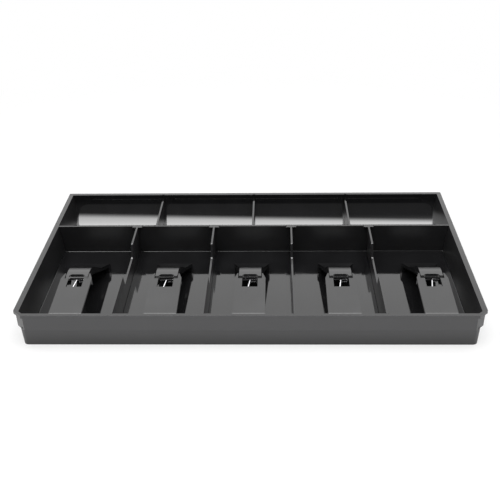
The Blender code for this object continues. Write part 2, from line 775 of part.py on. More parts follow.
def spring_route():
    """The wire's middle: the leg on the bracket's ledge, the coil, and the leg on the lever's shelf."""
    slope = BACK_LEG_SLOPE
    start = math.pi / 2 - slope
    end = math.pi / 2 + LEVER_TILT + 2 * math.pi * COIL_TURNS
    back = Vector((math.cos(slope), -math.sin(slope)))
    coil_start = COIL_RADIUS * Vector((math.cos(start), math.sin(start)))
    points = []
    for step in range(LEG_POINTS, 0, -1):
        place = coil_start + back * BACK_LEG * step / LEG_POINTS
        points.append(Vector((COIL_RIGHT, *place)))
    count = round(COIL_POINTS * (end - start) / (2 * math.pi))
    for step in range(count + 1):
        angle = start + (end - start) * step / count
        x = COIL_RIGHT + (COIL_LEFT - COIL_RIGHT) * step / count
        points.append(Vector((x, COIL_RADIUS * math.cos(angle), COIL_RADIUS * math.sin(angle))))
    leg_end = shelf_point()
    for step in range(1, LEG_POINTS + 1):
        points.append(points[count + LEG_POINTS].lerp(leg_end, step / LEG_POINTS))
    return points


def shelf_point():
    """Where the front leg's end lies, just above the lever's shelf."""
    v = BARREL_RADIUS - LEVER_PLATE - SHELF_DROP + CLEARANCE + WIRE / 2
    u = -WINDOW_FRONT + WIRE / 2
    return Matrix.Rotation(LEVER_TILT, 3, "X") @ Vector((COIL_LEFT - LEG_SLANT, u, v))


def least_gap(points):
    """The least gap between parts of the wire that aren't neighbours along it, measured on finer points."""
    finer = []
    for a, b in zip(points, points[1:]):
        finer += [a.lerp(b, step / 4) for step in range(4)]
    finer.append(points[-1])
    apart = 2 * COIL_POINTS
    count = len(finer)
    return min((finer[i] - finer[j]).length for i in range(count) for j in range(i + apart, count)) - WIRE


def make_spring():
    points = spring_route()
    print(f"clip spring: {COIL_TURNS} turns, least gap to itself {least_gap(points) * 1000:.2f} mm")
    curve = bpy.data.curves.new("clip_spring", "CURVE")
    curve.dimensions = "3D"
    curve.bevel_depth = WIRE / 2
    curve.bevel_resolution = 1
    curve.use_fill_caps = True
    spline = curve.splines.new("POLY")
    spline.points.add(len(points) - 1)
    for point, place in zip(spline.points, points):
        point.co = (*place, 1.0)
    wire = bpy.data.objects.new("clip_spring_route", curve)
    cutters.objects.link(wire)
    return mesh_of_curve(wire, "clip_spring")


# Assembly

tray_black = make_material("tray_black", (0.012, 0.012, 0.013), 0.28)
divider_black = make_material("divider_black", (0.012, 0.012, 0.013), 0.25)
clip_black = make_material("clip_black", (0.014, 0.014, 0.015), 0.3)
pin_steel = make_material("pin_steel", (0.55, 0.55, 0.56), 0.3, 1.0)
spring_steel = make_material("spring_steel", (0.8, 0.8, 0.82), 0.2, 1.0)

finish(make_tray(), tray_black)


def place_copies(name, mesh, material, places):
    for i, place in enumerate(places):
        copy = add_object(f"{name}_{i + 1}", mesh, parts)
        copy.location = place
        finish(copy, material)


note_places = [(x, 0.0, 0.0) for x in compartment_edges()]
coin_places = [(x, 0.0, 0.0) for x in coin_divider_places()]
place_copies("note_divider", make_note_divider(), divider_black, note_places)
place_copies("coin_divider", make_coin_divider(), divider_black, coin_places)
clip_pivots = [pivot + Vector((x, 0.0, 0.0)) for x in clip_places()]
place_copies("clip_bracket", make_bracket(), clip_black, clip_pivots)
place_copies("clip_lever", make_lever(), clip_black, clip_pivots)
place_copies("clip_pin", make_pin(), pin_steel, clip_pivots)
place_copies("clip_spring", make_spring(), spring_steel, clip_pivots)
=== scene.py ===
# %% [markdown]
# # A cash register tray
# The object is a shallow black tray that drops into a cash drawer. It has five places for notes, each with
# a sprung clip, and four scooped bins for coins. The packed model gives every piece its place and size, so
# this script loads it first and then models the same pieces again with finer edges and finishes.

# %% Load the frame
import math

import bpy
from mathutils import Matrix, Vector


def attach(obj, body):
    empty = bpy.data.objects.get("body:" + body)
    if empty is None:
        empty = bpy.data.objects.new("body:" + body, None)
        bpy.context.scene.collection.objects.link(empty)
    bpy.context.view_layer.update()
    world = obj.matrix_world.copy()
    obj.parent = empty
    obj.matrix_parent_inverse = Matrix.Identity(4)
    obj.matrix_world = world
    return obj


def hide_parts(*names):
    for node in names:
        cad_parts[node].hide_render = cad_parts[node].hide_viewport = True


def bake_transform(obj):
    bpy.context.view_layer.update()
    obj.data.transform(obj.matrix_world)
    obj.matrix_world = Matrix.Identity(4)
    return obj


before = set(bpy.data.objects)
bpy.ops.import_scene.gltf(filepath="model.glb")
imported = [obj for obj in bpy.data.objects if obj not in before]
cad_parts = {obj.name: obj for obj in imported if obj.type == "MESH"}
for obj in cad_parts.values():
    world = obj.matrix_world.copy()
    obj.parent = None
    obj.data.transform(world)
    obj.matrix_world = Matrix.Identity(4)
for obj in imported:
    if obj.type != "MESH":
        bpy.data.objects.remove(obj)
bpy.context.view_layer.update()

# %% [markdown]
# The photograph was taken from a little above the front, with a longish lens. A camera was fitted to the
# edges of the rim and base. It could be turned by eye, but fitted values make every edge fall in its place.
# Blender wants a lens length and a sensor width, and the picture is square.

# %% Camera
LENS = 61.8
SENSOR = 36.0
CAMERA_PLACE = Vector((0.0216, -0.7306, 0.4300))
PITCH = math.radians(28.75)
YAW = math.radians(-1.82)
ROLL = math.radians(-1.01)


def camera_axes():
    """Right, up and backward directions of the camera."""
    look = Vector((math.sin(YAW) * math.cos(PITCH), math.cos(YAW) * math.cos(PITCH), -math.sin(PITCH)))
    level = Vector((math.cos(YAW), -math.sin(YAW), 0.0))
    upright = level.cross(look)
    right = math.cos(ROLL) * level + math.sin(ROLL) * upright
    up = math.cos(ROLL) * upright - math.sin(ROLL) * level
    return right, up, -look


def add_camera():
    lens = bpy.data.cameras.new("camera")
    lens.lens = LENS
    lens.sensor_width = SENSOR
    lens.sensor_fit = "HORIZONTAL"
    camera = bpy.data.objects.new("camera", lens)
    bpy.context.scene.collection.objects.link(camera)
    axes = Matrix([list(axis) for axis in camera_axes()]).transposed().to_4x4()
    camera.matrix_world = Matrix.Translation(CAMERA_PLACE) @ axes
    bpy.context.scene.camera = camera
    return camera


camera = add_camera()
bpy.context.scene.view_settings.view_transform = "Standard"
print("camera at", tuple(round(v, 3) for v in camera.matrix_world.translation))

# %% [markdown]
# A finish is written as a sum of noises and numbers. Its nodes could be added and linked one by one, but
# such a tree is hard to read. So a small class wraps a socket, and `mask * 0.2 + 0.1` adds the Math nodes
# that it says.


# %% Values that change over a surface
class Value:
    """A number that changes over a surface."""

    def __init__(self, tree, socket):
        self.tree = tree
        self.socket = socket

    def _math(self, operation, first, second):
        node = self.tree.nodes.new("ShaderNodeMath")
        node.operation = operation
        for slot, value in zip(node.inputs, (first, second)):
            if isinstance(value, Value):
                self.tree.links.new(value.socket, slot)
            else:
                slot.default_value = value
        return Value(self.tree, node.outputs[0])

    def __add__(self, other):
        return self._math("ADD", self, other)

    def __radd__(self, other):
        return self._math("ADD", other, self)

    def __sub__(self, other):
        return self._math("SUBTRACT", self, other)

    def __rsub__(self, other):
        return self._math("SUBTRACT", other, self)

    def __mul__(self, other):
        return self._math("MULTIPLY", self, other)

    def __rmul__(self, other):
        return self._math("MULTIPLY", other, self)

    def turned_from(self, other):
        """The angle of the direction whose parts are other and self, in radians."""
        return self._math("ARCTAN2", self, other)

    def clamped(self):
        top = self._math("MINIMUM", self, 1.0)
        return top._math("MAXIMUM", top, 0.0)


print("a value has + - * and", [name for name in vars(Value) if name[0] != "_"])

# %% [markdown]
# One method adds any other node, with its settings set first and then its sockets. Patterns that come back
# often, such as a ramp, or noise in the object's own coordinates, get a name of their own. A material is
# such a tree around one Principled shader.


# %% Node trees and finishes
class Nodes:
    """A node tree that is filled one node at a time."""

    def __init__(self, tree):
        self.tree = tree

    def feed(self, socket, value):
        if isinstance(value, Value):
            self.tree.links.new(value.socket, socket)
        else:
            socket.default_value = value

    def add(self, kind, output, settings=None, **sockets):
        """A node of this kind. Its settings come first, then the values or links of its sockets."""
        node = self.tree.nodes.new("ShaderNode" + kind)
        for name, value in (settings or {}).items():
            setattr(node, name, value)
        for name, value in sockets.items():
            self.feed(node.inputs[name.replace("_", " ")], value)
        return Value(self.tree, node.outputs[output])

    def axes(self, coordinate):
        """X, Y and Z of one of the texture coordinates."""
        split = self.add("SeparateXYZ", "X", Vector=self.add("TexCoord", coordinate)).socket.node
        return [Value(self.tree, split.outputs[axis]) for axis in "XYZ"]

    def ramp(self, value, low, high, bottom=0.0, top=1.0, kind="LINEAR"):
        """The bottom value below low, the top value above high and a straight line between."""
        ends = {"From_Min": low, "From_Max": high, "To_Min": bottom, "To_Max": top}
        settings = {"interpolation_type": kind, "clamp": True}
        return self.add("MapRange", "Result", settings, Value=value, **ends)

    def ease(self, value, low, high, bottom=0.0, top=1.0):
        """As ramp, but it starts and ends softly."""
        return self.ramp(value, low, high, bottom, top, "SMOOTHSTEP")

    def blend_colours(self, share, first, second):
        """A colour between two, by a share that changes over the surface."""
        mixed = self.add("Mix", 2, {"data_type": "RGBA"})
        node = mixed.socket.node
        self.feed(node.inputs[0], share)
        node.inputs[6].default_value = (*first, 1.0)
        node.inputs[7].default_value = (*second, 1.0)
        return mixed


class Finish(Nodes):
    """A material around one Principled shader."""

    def __init__(self, name, **sockets):
        self.material = bpy.data.materials.new(name)
        self.material.use_nodes = True
        super().__init__(self.material.node_tree)
        self.shader = self.tree.nodes["Principled BSDF"]
        self.set(**sockets)

    def set(self, **sockets):
        """Values or links of the main shader's sockets, with _ for a space in their names."""
        for name, value in sockets.items():
            self.feed(self.shader.inputs[name.replace("_", " ")], value)

    def noise(self, scale, detail=3.0, stretch=(1.0, 1.0, 1.0)):
        """Noise on the object's own coordinates, in metres times the stretch."""
        point = self.add("TexCoord", "Object")
        point = self.add("Mapping", "Vector", {"vector_type": "POINT"}, Vector=point, Scale=stretch)
        return self.add("TexNoise", "Fac", Vector=point, Scale=scale, Detail=detail)

    def bump(self, height, distance):
        return self.add("Bump", "Normal", Height=height, Distance=distance, Strength=1.0)


print("a finish has", [name for name in vars(Finish) if name[0] != "_"])

# %% [markdown]
# The whole tray is black polystyrene. Inside it is polished, so it mirrors the pale studio, and what shows
# is the reflection and hardly the colour. Upright walls are duller, because they slid along the mould. One
# plain black would look like painted glass, so slow waves from the mould, hair scratches along the notes'
# way and faint smears of handling are added as noise.

# %% Polished black plastic
PLASTIC_IOR, CLIP_IOR = 1.59, 1.67
MM = 0.001
SMEAR_SCALE, SMEAR_RANGE, SMEAR_ROUGHNESS = 34.0, (0.45, 0.72), 0.04
SCRATCH_SCALE, SCRATCH_RANGE, SCRATCH_ROUGHNESS = 2600.0, (0.70, 0.86), 0.10
SCRATCH_STRETCH = (1.0, 0.02, 0.3)
WORN_SHARE, WORN_PALENESS, WAVE_SCALE = 0.3, 2.2, 38.0


def polished_plastic(name, colour, roughness, waviness=0.02, ior=PLASTIC_IOR):
    finish = Finish(name, IOR=ior)
    smears = finish.ramp(finish.noise(SMEAR_SCALE, detail=4.0), *SMEAR_RANGE)
    scratches = finish.ramp(finish.noise(SCRATCH_SCALE, 2.0, SCRATCH_STRETCH), *SCRATCH_RANGE)
    finish.set(Roughness=roughness + smears * SMEAR_ROUGHNESS + scratches * SCRATCH_ROUGHNESS)
    pale = tuple(WORN_PALENESS * c for c in colour)
    worn = smears * WORN_SHARE + scratches * WORN_SHARE
    finish.set(Base_Color=finish.blend_colours(worn, colour, pale))
    waves = finish.noise(WAVE_SCALE, detail=2.0)
    finish.set(Normal=finish.bump(waves, waviness * MM))
    return finish.material


gloss_black = polished_plastic("gloss_black", (0.0075, 0.0075, 0.008), 0.05)
wall_black = polished_plastic("wall_black", (0.0095, 0.0095, 0.010), 0.32)
clip_gloss = polished_plastic("clip_gloss", (0.011, 0.011, 0.0115), 0.08, 0.015, CLIP_IOR)
print("polished plastics:", gloss_black.name, wall_black.name, clip_gloss.name)

# %% [markdown]
# Outside, the mould was etched, which leaves a fine satin grain that scatters light. The walls look dark
# grey there and not black. The grain could be modelled, but it is far finer than a pixel, so a plain
# roughness stands for it, with a little noise in colour and bump for close views. Towards the wall's foot
# the colour is painted darker, which is painted shade.


# %% Satin black plastic
GRAIN_SCALE, GRAIN_HEIGHT, CLOUD_SCALE, CLOUD_ROUGHNESS = 2400.0, 0.025, 26.0, 0.06
RUB_SCALE, RUB_RANGE, RUB_ROUGHNESS = 120.0, (0.58, 0.75), 0.05
# Painted shade at the foot of the outer wall: below this height the colour darkens by this share.
FOOT_SHADE_HEIGHT, DARKEST, LIGHTEST = 0.0165, 0.1, 1.18
PLAIN_SHARE, GRAIN_SHARE, CLOUD_SHARE, FOOT_SHADE_SHARE = 0.70, 0.18, 0.12, 0.75


def satin_plastic(name, colour, roughness):
    finish = Finish(name, IOR=PLASTIC_IOR)
    grain = finish.noise(GRAIN_SCALE)
    cloud = finish.noise(CLOUD_SCALE)
    rubbed = finish.ramp(finish.noise(RUB_SCALE, detail=5.0), *RUB_RANGE)
    _, _, height = finish.axes("Object")
    # Painted shade: 1 at the foot of the wall, falling to 0 a little way up.
    painted_foot_shade = 1.0 - finish.ramp(height, 0.0, FOOT_SHADE_HEIGHT)
    finish.set(Roughness=roughness + cloud * CLOUD_ROUGHNESS - rubbed * RUB_ROUGHNESS)
    dark = tuple(DARKEST * c for c in colour)
    light = tuple(LIGHTEST * c for c in colour)
    share = PLAIN_SHARE + grain * GRAIN_SHARE + cloud * CLOUD_SHARE
    finish.set(Base_Color=finish.blend_colours(share - painted_foot_shade * FOOT_SHADE_SHARE, dark, light))
    finish.set(Normal=finish.bump(grain, GRAIN_HEIGHT * MM))
    return finish.material


satin_black = satin_plastic("satin_black", (0.072, 0.072, 0.0745), 0.40)
print("satin plastic:", satin_black.name)

# %% [markdown]
# The pins and springs are steel wire. One smooth metal would do from afar, but drawing wire through a die
# leaves fine lines, so the noise is stretched along the spring's legs. The spring is plated and shines
# brighter than the pin.


# %% Steel
DRAWN_SCALE, DRAWN_STRETCH, DRAWN_DARKNESS, DRAWN_ROUGHNESS = 1500.0, (1.0, 0.1, 0.1), 0.8, 0.12


def steel(name, colour, roughness):
    finish = Finish(name, Metallic=1.0)
    drawn = finish.noise(DRAWN_SCALE, stretch=DRAWN_STRETCH)
    finish.set(Roughness=roughness + drawn * DRAWN_ROUGHNESS)
    dark = tuple(DRAWN_DARKNESS * c for c in colour)
    finish.set(Base_Color=finish.blend_colours(drawn, dark, colour))
    return finish.material


spring_wire = steel("spring_wire", (0.86, 0.86, 0.88), 0.10)
pin_wire = steel("pin_wire", (0.50, 0.50, 0.51), 0.30)
print("steels:", spring_wire.name, pin_wire.name)

# %% [markdown]
# Walls start as boxes, and pins and pegs as cylinders. Both could be written out corner by corner, but the
# operators that are used by hand give closed shapes. Everything is deselected first, because an operator
# acts on all that is selected.

# %% Boxes and rods
ROD_SIDES = 32


def deselect_all():
    bpy.ops.object.select_all(action="DESELECT")


def box(name, x_range, y_range, z_range):
    """A box between three pairs of values."""
    ranges = (x_range, y_range, z_range)
    deselect_all()
    bpy.ops.mesh.primitive_cube_add(
        size=1.0,
        location=[sum(r) / 2 for r in ranges],
        scale=[r[1] - r[0] for r in ranges],
    )
    piece = bpy.context.object
    piece.name = name
    bpy.ops.object.transform_apply(location=True, rotation=True, scale=True)
    return piece


def rod(name, radius, height, place, turn=(0.0, 0.0, 0.0)):
    """An upright cylinder, or one turned onto another axis."""
    deselect_all()
    bpy.ops.mesh.primitive_cylinder_add(
        vertices=ROD_SIDES, radius=radius, depth=height, location=place, rotation=turn
    )
    piece = bpy.context.object
    piece.name = name
    bpy.ops.object.transform_apply(location=True, rotation=True, scale=True)
    return piece


print("a rod has", ROD_SIDES, "sides")

# %% [markdown]
# A clip's halves and the coin bins have one shape all along the tray's width. So their side is drawn as an
# outline, which becomes the face of a primitive circle and is pulled across. Curves could give it too, but
# points that are worked out from sizes are easy to set beside the packed model.

# %% Outlines
ROUND_STEPS = 5


def outline_piece(name, outline, x_range):
    """A side outline of (y, z) points, extruded from one x to the other."""
    deselect_all()
    bpy.ops.mesh.primitive_circle_add(vertices=len(outline), fill_type="NGON")
    piece = bpy.context.object
    piece.name = name
    for vertex, (y, z) in zip(piece.data.vertices, outline):
        vertex.co = (x_range[0], y, z)
    width = x_range[1] - x_range[0]
    bpy.ops.object.mode_set(mode="EDIT")
    bpy.ops.mesh.select_all(action="SELECT")
    bpy.ops.mesh.extrude_region_move(TRANSFORM_OT_translate={"value": (width, 0.0, 0.0)})
    bpy.ops.mesh.select_all(action="SELECT")
    bpy.ops.mesh.normals_make_consistent(inside=False)
    bpy.ops.object.mode_set(mode="OBJECT")
    return piece


def arc(centre, radius, start, end, steps):
    """Points on a circle in the YZ plane, from one angle to another in degrees."""
    points = []
    for step in range(steps + 1):
        angle = math.radians(start + (end - start) * step / steps)
        points.append((centre[0] + radius * math.cos(angle), centre[1] + radius * math.sin(angle)))
    return points


def rounded(corners):
    """An outline through (y, z, radius) corners, each with a radius turned into an arc."""
    outline = []
    for i, (y, z, radius) in enumerate(corners):
        corner = Vector((y, z))
        if not radius:
            outline.append(tuple(corner))
            continue
        before = (Vector(corners[i - 1][:2]) - corner).normalized()
        after = (Vector(corners[(i + 1) % len(corners)][:2]) - corner).normalized()
        half = before.angle(after) / 2
        centre = corner + (before + after).normalized() * radius / math.sin(half)
        start = corner + before * radius / math.tan(half) - centre
        end = corner + after * radius / math.tan(half) - centre
        turn = math.atan2(start.x * end.y - start.y * end.x, start.dot(end))
        for step in range(ROUND_STEPS + 1):
            outline.append(tuple(centre + Matrix.Rotation(turn * step / ROUND_STEPS, 2) @ start))
    return outline


print("a rounded corner takes", ROUND_STEPS, "steps")

# %% [markdown]
# A moulding has no knife edges, so each piece gets a narrow bevel, which catches the light as a thin line. A
# modifier finds all sharp edges by their angle. Corners that need a radius of their own are picked in code,
# by where their edges lie.

# %% Bevels
SOFT_SEGMENTS, SOFT_ANGLE = 2, math.radians(35)
TINY = 1e-6


def edit_edges(piece, wanted):
    """Goes into edit mode with only the edges selected whose ends satisfy the test."""
    deselect_all()
    bpy.context.view_layer.objects.active = piece
    bpy.ops.object.mode_set(mode="EDIT")
    bpy.ops.mesh.select_mode(type="EDGE")
    bpy.ops.mesh.select_all(action="DESELECT")
    bpy.ops.object.mode_set(mode="OBJECT")
    points = piece.data.vertices
    for edge in piece.data.edges:
        edge.select = wanted(*(points[i].co for i in edge.vertices))
    bpy.ops.object.mode_set(mode="EDIT")


def bevel_edges(piece, wanted, offset, segments):
    edit_edges(piece, wanted)
    bpy.ops.mesh.bevel(offset=offset, segments=segments, affect="EDGES")
    bpy.ops.object.mode_set(mode="OBJECT")


def upright(a, b):
    return abs(a.z - b.z) > abs(a.x - b.x) + abs(a.y - b.y)


def apply_step(piece, kind, **settings):
    """Adds one modifier and applies it."""
    step = piece.modifiers.new(kind.lower(), kind)
    for name, value in settings.items():
        setattr(step, name, value)
    deselect_all()
    bpy.context.view_layer.objects.active = piece
    bpy.ops.object.modifier_apply(modifier=step.name)


def soften(piece, width):
    """A narrow bevel along every edge that is sharper than the soft angle."""
    apply_step(
        piece,
        "BEVEL",
        width=width,
        segments=SOFT_SEGMENTS,
        limit_method="ANGLE",
        angle_limit=SOFT_ANGLE,
        miter_outer="MITER_ARC",
        use_clamp_overlap=True,
    )


print("soft edges have", SOFT_SEGMENTS, "segments")

# %% [markdown]
# Holes and joints come from Boolean modifiers that are applied at once. Edge loops cut by hand would give
# tidier faces, but a Boolean stays right when a size changes. A finished piece is shaded smooth, gets its
# finish and the body that carries it, and the packed node that it stands for is hidden.

# %% Booleans and dressing
SMOOTH_ANGLE, COIL_SMOOTH_ANGLE = math.radians(32), math.radians(50)


def carve(piece, tool, operation="DIFFERENCE"):
    """Cuts the tool out of the piece, or welds it on, and removes the tool."""
    apply_step(piece, "BOOLEAN", operation=operation, solver="EXACT", object=tool)
    bpy.data.objects.remove(tool, do_unlink=True)


def smooth(piece, angle=SMOOTH_ANGLE):
    """Smooth shading in which the large flat faces stay flat and only the bevels turn."""
    deselect_all()
    piece.select_set(True)
    bpy.context.view_layer.objects.active = piece
    bpy.ops.object.shade_smooth_by_angle(angle=angle)
    apply_step(piece, "WEIGHTED_NORMAL", mode="FACE_AREA", weight=100, keep_sharp=True)


def dress(piece, node, body, slot, *materials):
    """Gives a finished piece its finish and its body, and hides the packed node that it stands for."""
    piece.data.materials.clear()
    for material in materials:
        piece.data.materials.append(material)
    smooth(piece)
    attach(piece, body)
    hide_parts(node)


print("edges are shaded sharp above", round(math.degrees(SMOOTH_ANGLE)), "degrees")

# %% [markdown]
# The tray shell is one moulding. Its outside has three stages: a rim flange, a skirt that the drawer's edge
# would carry, and a lower band that leans in. One box could be extruded in steps, but the stages differ in
# their corners. So each is a box of its own, with its upright corners bevelled and its lower end drawn in,
# and the three are welded.

# %% Outside of the tray
WIDTH, DEPTH, RIM = 0.405, 0.245, 0.033
RIM_CHAMFER, SKIRT_CHAMFER, BAND_CORNER, BACK_CORNER = 0.008, 0.0075, 0.0045, 0.001
FLANGE_THICKNESS, FLANGE_REACH, SKIRT_HEIGHT = 0.003, 0.0019, 0.0155
SKIRT_LEAN = (0.0002, 0.0008)
STEP = (0.003, 0.001)
BAND_LEAN = (0.0003, 0.003)
OVERLAP = 0.001


def outer_stage(name, z_range, top_inset, bottom_inset, corner, segments):
    """One stage of the outside, drawn in at its lower end."""
    half_x, half_y = WIDTH / 2 - top_inset[0], DEPTH / 2 - top_inset[1]
    stage = box(name, (-half_x, half_x), (-half_y, half_y), z_range)
    bevel_edges(stage, lambda a, b: upright(a, b) and a.y < 0, corner, segments)
    bevel_edges(stage, lambda a, b: upright(a, b) and a.y > half_y - corner / 2, BACK_CORNER, segments=3)
    for vertex in stage.data.vertices:
        share = (z_range[1] - vertex.co.z) / (z_range[1] - z_range[0])
        vertex.co.x -= math.copysign((bottom_inset[0] - top_inset[0]) * share, vertex.co.x)
        vertex.co.y -= math.copysign((bottom_inset[1] - top_inset[1]) * share, vertex.co.y)
    return stage


def add(first, second):
    return tuple(a + b for a, b in zip(first, second))


flange_low = RIM - FLANGE_THICKNESS
step_z = RIM - SKIRT_HEIGHT
skirt_top = (FLANGE_REACH, 0.0)
skirt_foot = add(skirt_top, SKIRT_LEAN)
band_top = add(skirt_foot, STEP)
base_inset = add(band_top, BAND_LEAN)
tray = outer_stage("tray_body", (flange_low, RIM), (0.0, 0.0), (0.0, 0.0), RIM_CHAMFER, segments=1)
skirt_z = (step_z, flange_low + OVERLAP)
skirt = outer_stage("skirt", skirt_z, skirt_top, skirt_foot, SKIRT_CHAMFER, segments=1)
carve(tray, skirt, "UNION")
band = outer_stage("band", (0.0, step_z + OVERLAP), band_top, base_inset, BAND_CORNER, segments=6)
carve(tray, band, "UNION")
print("outside:", len(tray.data.polygons), "faces")

# %% [markdown]
# Two wells are sunk into the block. The note well has leaning walls and a small fillet round its floor. The
# coin well ends in a scoop, a quarter circle that lets a finger slide coins out, and this one has three times
# as many steps as the packed model, so that its long highlight is even.

# %% Wells
SIDE_RIM, FRONT_RIM, BACK_RIM = 0.0045, 0.0035, 0.0045
WALL_LEAN, FLOOR, NOTE_LENGTH = 0.0045, 0.0048, 0.162
CROSS_WALL, CROSS_LEAN = 0.002, 0.0015
WELL_CHAMFER, WELL_FILLET = 0.0034, 0.0005
COIN_FILLET, SCOOP_RADIUS, SCOOP_STEPS = 0.003, 0.025, 24
note_front = -DEPTH / 2 + FRONT_RIM
cross_front = note_front + NOTE_LENGTH
cross_back = cross_front + CROSS_WALL
coin_back = DEPTH / 2 - BACK_RIM
half_well = WIDTH / 2 - SIDE_RIM
above = RIM + OVERLAP


def depth_share(z):
    """0 at the rim and 1 at the floor."""
    return (RIM - z) / (RIM - FLOOR)


def note_well():
    well = box("note_well", (-half_well, half_well), (note_front, cross_front), (FLOOR, above))
    bevel_edges(well, lambda a, b: upright(a, b) and a.y < 0, WELL_CHAMFER, segments=1)
    bevel_edges(well, lambda a, b: max(a.z, b.z) < FLOOR + TINY, WELL_FILLET, segments=4)
    middle = (note_front + cross_front) / 2
    for vertex in well.data.vertices:
        share = depth_share(vertex.co.z)
        vertex.co.x -= math.copysign(WALL_LEAN * share, vertex.co.x)
        vertex.co.y += WALL_LEAN * share if vertex.co.y < middle else -CROSS_LEAN * share
    return well


def coin_outline(growth, top, fillet=0.0):
    """The coin well from the side, grown outwards and cut off at a height."""
    low = FLOOR - growth
    centre = (coin_back - SCOOP_RADIUS, FLOOR + SCOOP_RADIUS)
    radius = SCOOP_RADIUS + growth
    scoop = [p for p in arc(centre, radius, -90, 0, SCOOP_STEPS) if p[1] < top - TINY]
    if top > centre[1]:
        scoop.append((centre[0] + radius, top))
    else:
        scoop.append((centre[0] + math.sqrt(radius**2 - (centre[1] - top) ** 2), top))
    front = cross_back - growth
    corner = rounded([(front, top, 0), (front, low, fillet), (scoop[0][0], low, 0)])[1:-1]
    return [(front, top)] + corner + scoop


def coin_well():
    well = outline_piece("coin_well", coin_outline(0.0, above, COIN_FILLET), (-half_well, half_well))
    for vertex in well.data.vertices:
        half = half_well - WALL_LEAN * depth_share(vertex.co.z)
        vertex.co.x = math.copysign(half, vertex.co.x)
    return well


carve(tray, note_well())
carve(tray, coin_well())
print("with its wells:", len(tray.data.polygons), "faces")

# %% [markdown]
# Under the floor the moulding is hollow, which keeps its walls equally thick. A ring round the base, a rib
# below each note divider and one below the cross wall carry the tray. The inside could be made by a Solidify
# modifier, but it would leave no ribs, so each space between two ribs is cut out by itself.

# %% Hollows below the floor
FLOOR_THICKNESS, BASE_RING, RIB, HOLLOW_CORNER = 0.0024, 0.004, 0.003, 0.002
NOTE_DIVIDERS, COIN_DIVIDERS, NOTE_END_MARGIN = 4, 3, 0.00725
note_pitch = (WIDTH - 2 * NOTE_END_MARGIN) / (NOTE_DIVIDERS + 1)
coin_pitch = (WIDTH - 2 * SIDE_RIM) / (COIN_DIVIDERS + 1)
note_divider_x = [note_pitch * (i - (NOTE_DIVIDERS - 1) / 2) for i in range(NOTE_DIVIDERS)]
coin_divider_x = [coin_pitch * (i - (COIN_DIVIDERS - 1) / 2) for i in range(COIN_DIVIDERS)]


def carve_hollows():
    base_x = WIDTH / 2 - base_inset[0] - BASE_RING
    base_y = DEPTH / 2 - base_inset[1] - BASE_RING
    z_range = (-OVERLAP, FLOOR - FLOOR_THICKNESS)
    rib_y = (cross_front + cross_back) / 2
    edges = [-base_x] + note_divider_x + [base_x]
    for i, (left, right) in enumerate(zip(edges, edges[1:])):
        left += RIB / 2 if i else 0.0
        right -= RIB / 2 if i < NOTE_DIVIDERS else 0.0
        hollow = box("hollow", (left, right), (-base_y, rib_y - RIB / 2), z_range)
        bevel_edges(hollow, upright, HOLLOW_CORNER, segments=4)
        carve(tray, hollow)
    centre = (coin_back - SCOOP_RADIUS, FLOOR + SCOOP_RADIUS)
    scoop = arc(centre, SCOOP_RADIUS + FLOOR_THICKNESS, -90, 0, SCOOP_STEPS)
    scoop = [p for p in scoop if p[0] < base_y]
    front = rib_y + RIB / 2
    outline = [(front, -OVERLAP), (front, z_range[1])] + scoop
    outline += [(base_y, scoop[-1][1]), (base_y, -OVERLAP)]
    carve(tray, outline_piece("coin_hollow", outline, (-base_x, base_x)))


carve_hollows()
print("with its hollows:", len(tray.data.polygons), "faces")

# %% [markdown]
# The edges are softened now, before the fine cuts. A bevel can be no wider than the shortest edge beside
# it, and the grooves would bring very short ones. The divider grooves, hook notches and peg holes stay
# sharp, as the steel in a mould leaves them.

# %% Soft edges, then grooves, notches and holes
EDGE = 0.00018
CLEARANCE, GROOVE, BLADE = 0.0003, 0.0008, 0.0018
HOOK_WIDTH, HOOK_HEIGHT, HOOK_REACH = 0.0095, 0.0015, 0.0022
CLIP_OFFSETS = (-0.0011, 0.0023, 0.0, 0.0036, 0.0072)
PIVOT_FROM_FRONT, PIVOT_BELOW_RIM = 0.062, 0.0012
ARM_LENGTH, SOLE_LENGTH, PEG_SPACING, PEG_RADIUS = 0.0599, 0.012, 0.014, 0.002
pivot = Vector((0.0, -DEPTH / 2 + PIVOT_FROM_FRONT, RIM - PIVOT_BELOW_RIM))
clip_x = [note_pitch * (i - (len(CLIP_OFFSETS) - 1) / 2) + offset for i, offset in enumerate(CLIP_OFFSETS)]


def note_outline(growth, top):
    """The note well from the side, grown outwards and cut off at a height."""
    low = FLOOR - growth
    front = [note_front + WALL_LEAN * depth_share(z) - growth for z in (low, top)]
    back = [cross_front - CROSS_LEAN * depth_share(z) + growth for z in (low, top)]
    return [(front[0], low), (back[0], low), (back[1], top), (front[1], top)]


soften(tray, EDGE)
half_slot = BLADE / 2 + CLEARANCE
half_hook = HOOK_WIDTH / 2 + CLEARANCE
notch_y = (cross_front - OVERLAP, cross_back + OVERLAP)
for x in note_divider_x:
    carve(tray, outline_piece("groove", note_outline(GROOVE, above), (x - half_slot, x + half_slot)))
    carve(tray, box("notch", (x - half_hook, x + half_hook), notch_y, (RIM - HOOK_HEIGHT - CLEARANCE, above)))
for x in coin_divider_x:
    carve(tray, outline_piece("groove", coin_outline(GROOVE, above), (x - half_slot, x + half_slot)))
peg_y = pivot.y + ARM_LENGTH - SOLE_LENGTH / 2
for x in clip_x:
    for side in (-1, 1):
        place = (x + side * PEG_SPACING / 2, peg_y, 0.0)
        carve(tray, rod("peg_hole", PEG_RADIUS + CLEARANCE, 4 * FLOOR, place))
print("tray shell:", len(tray.data.polygons), "faces")

# %% [markdown]
# The moulder polished the floors, the scoop and the rim. Upright walls inside slid along the mould and are
# less glossy, and the outer walls and the underside are satin. Faces could be picked by hand, but here they
# are sorted by place and direction, so that a changed size needs no new picking.

# %% Finish of the tray
UPRIGHT, FACES_UP = 0.9, 0.35
WALL_MARGIN = 0.001


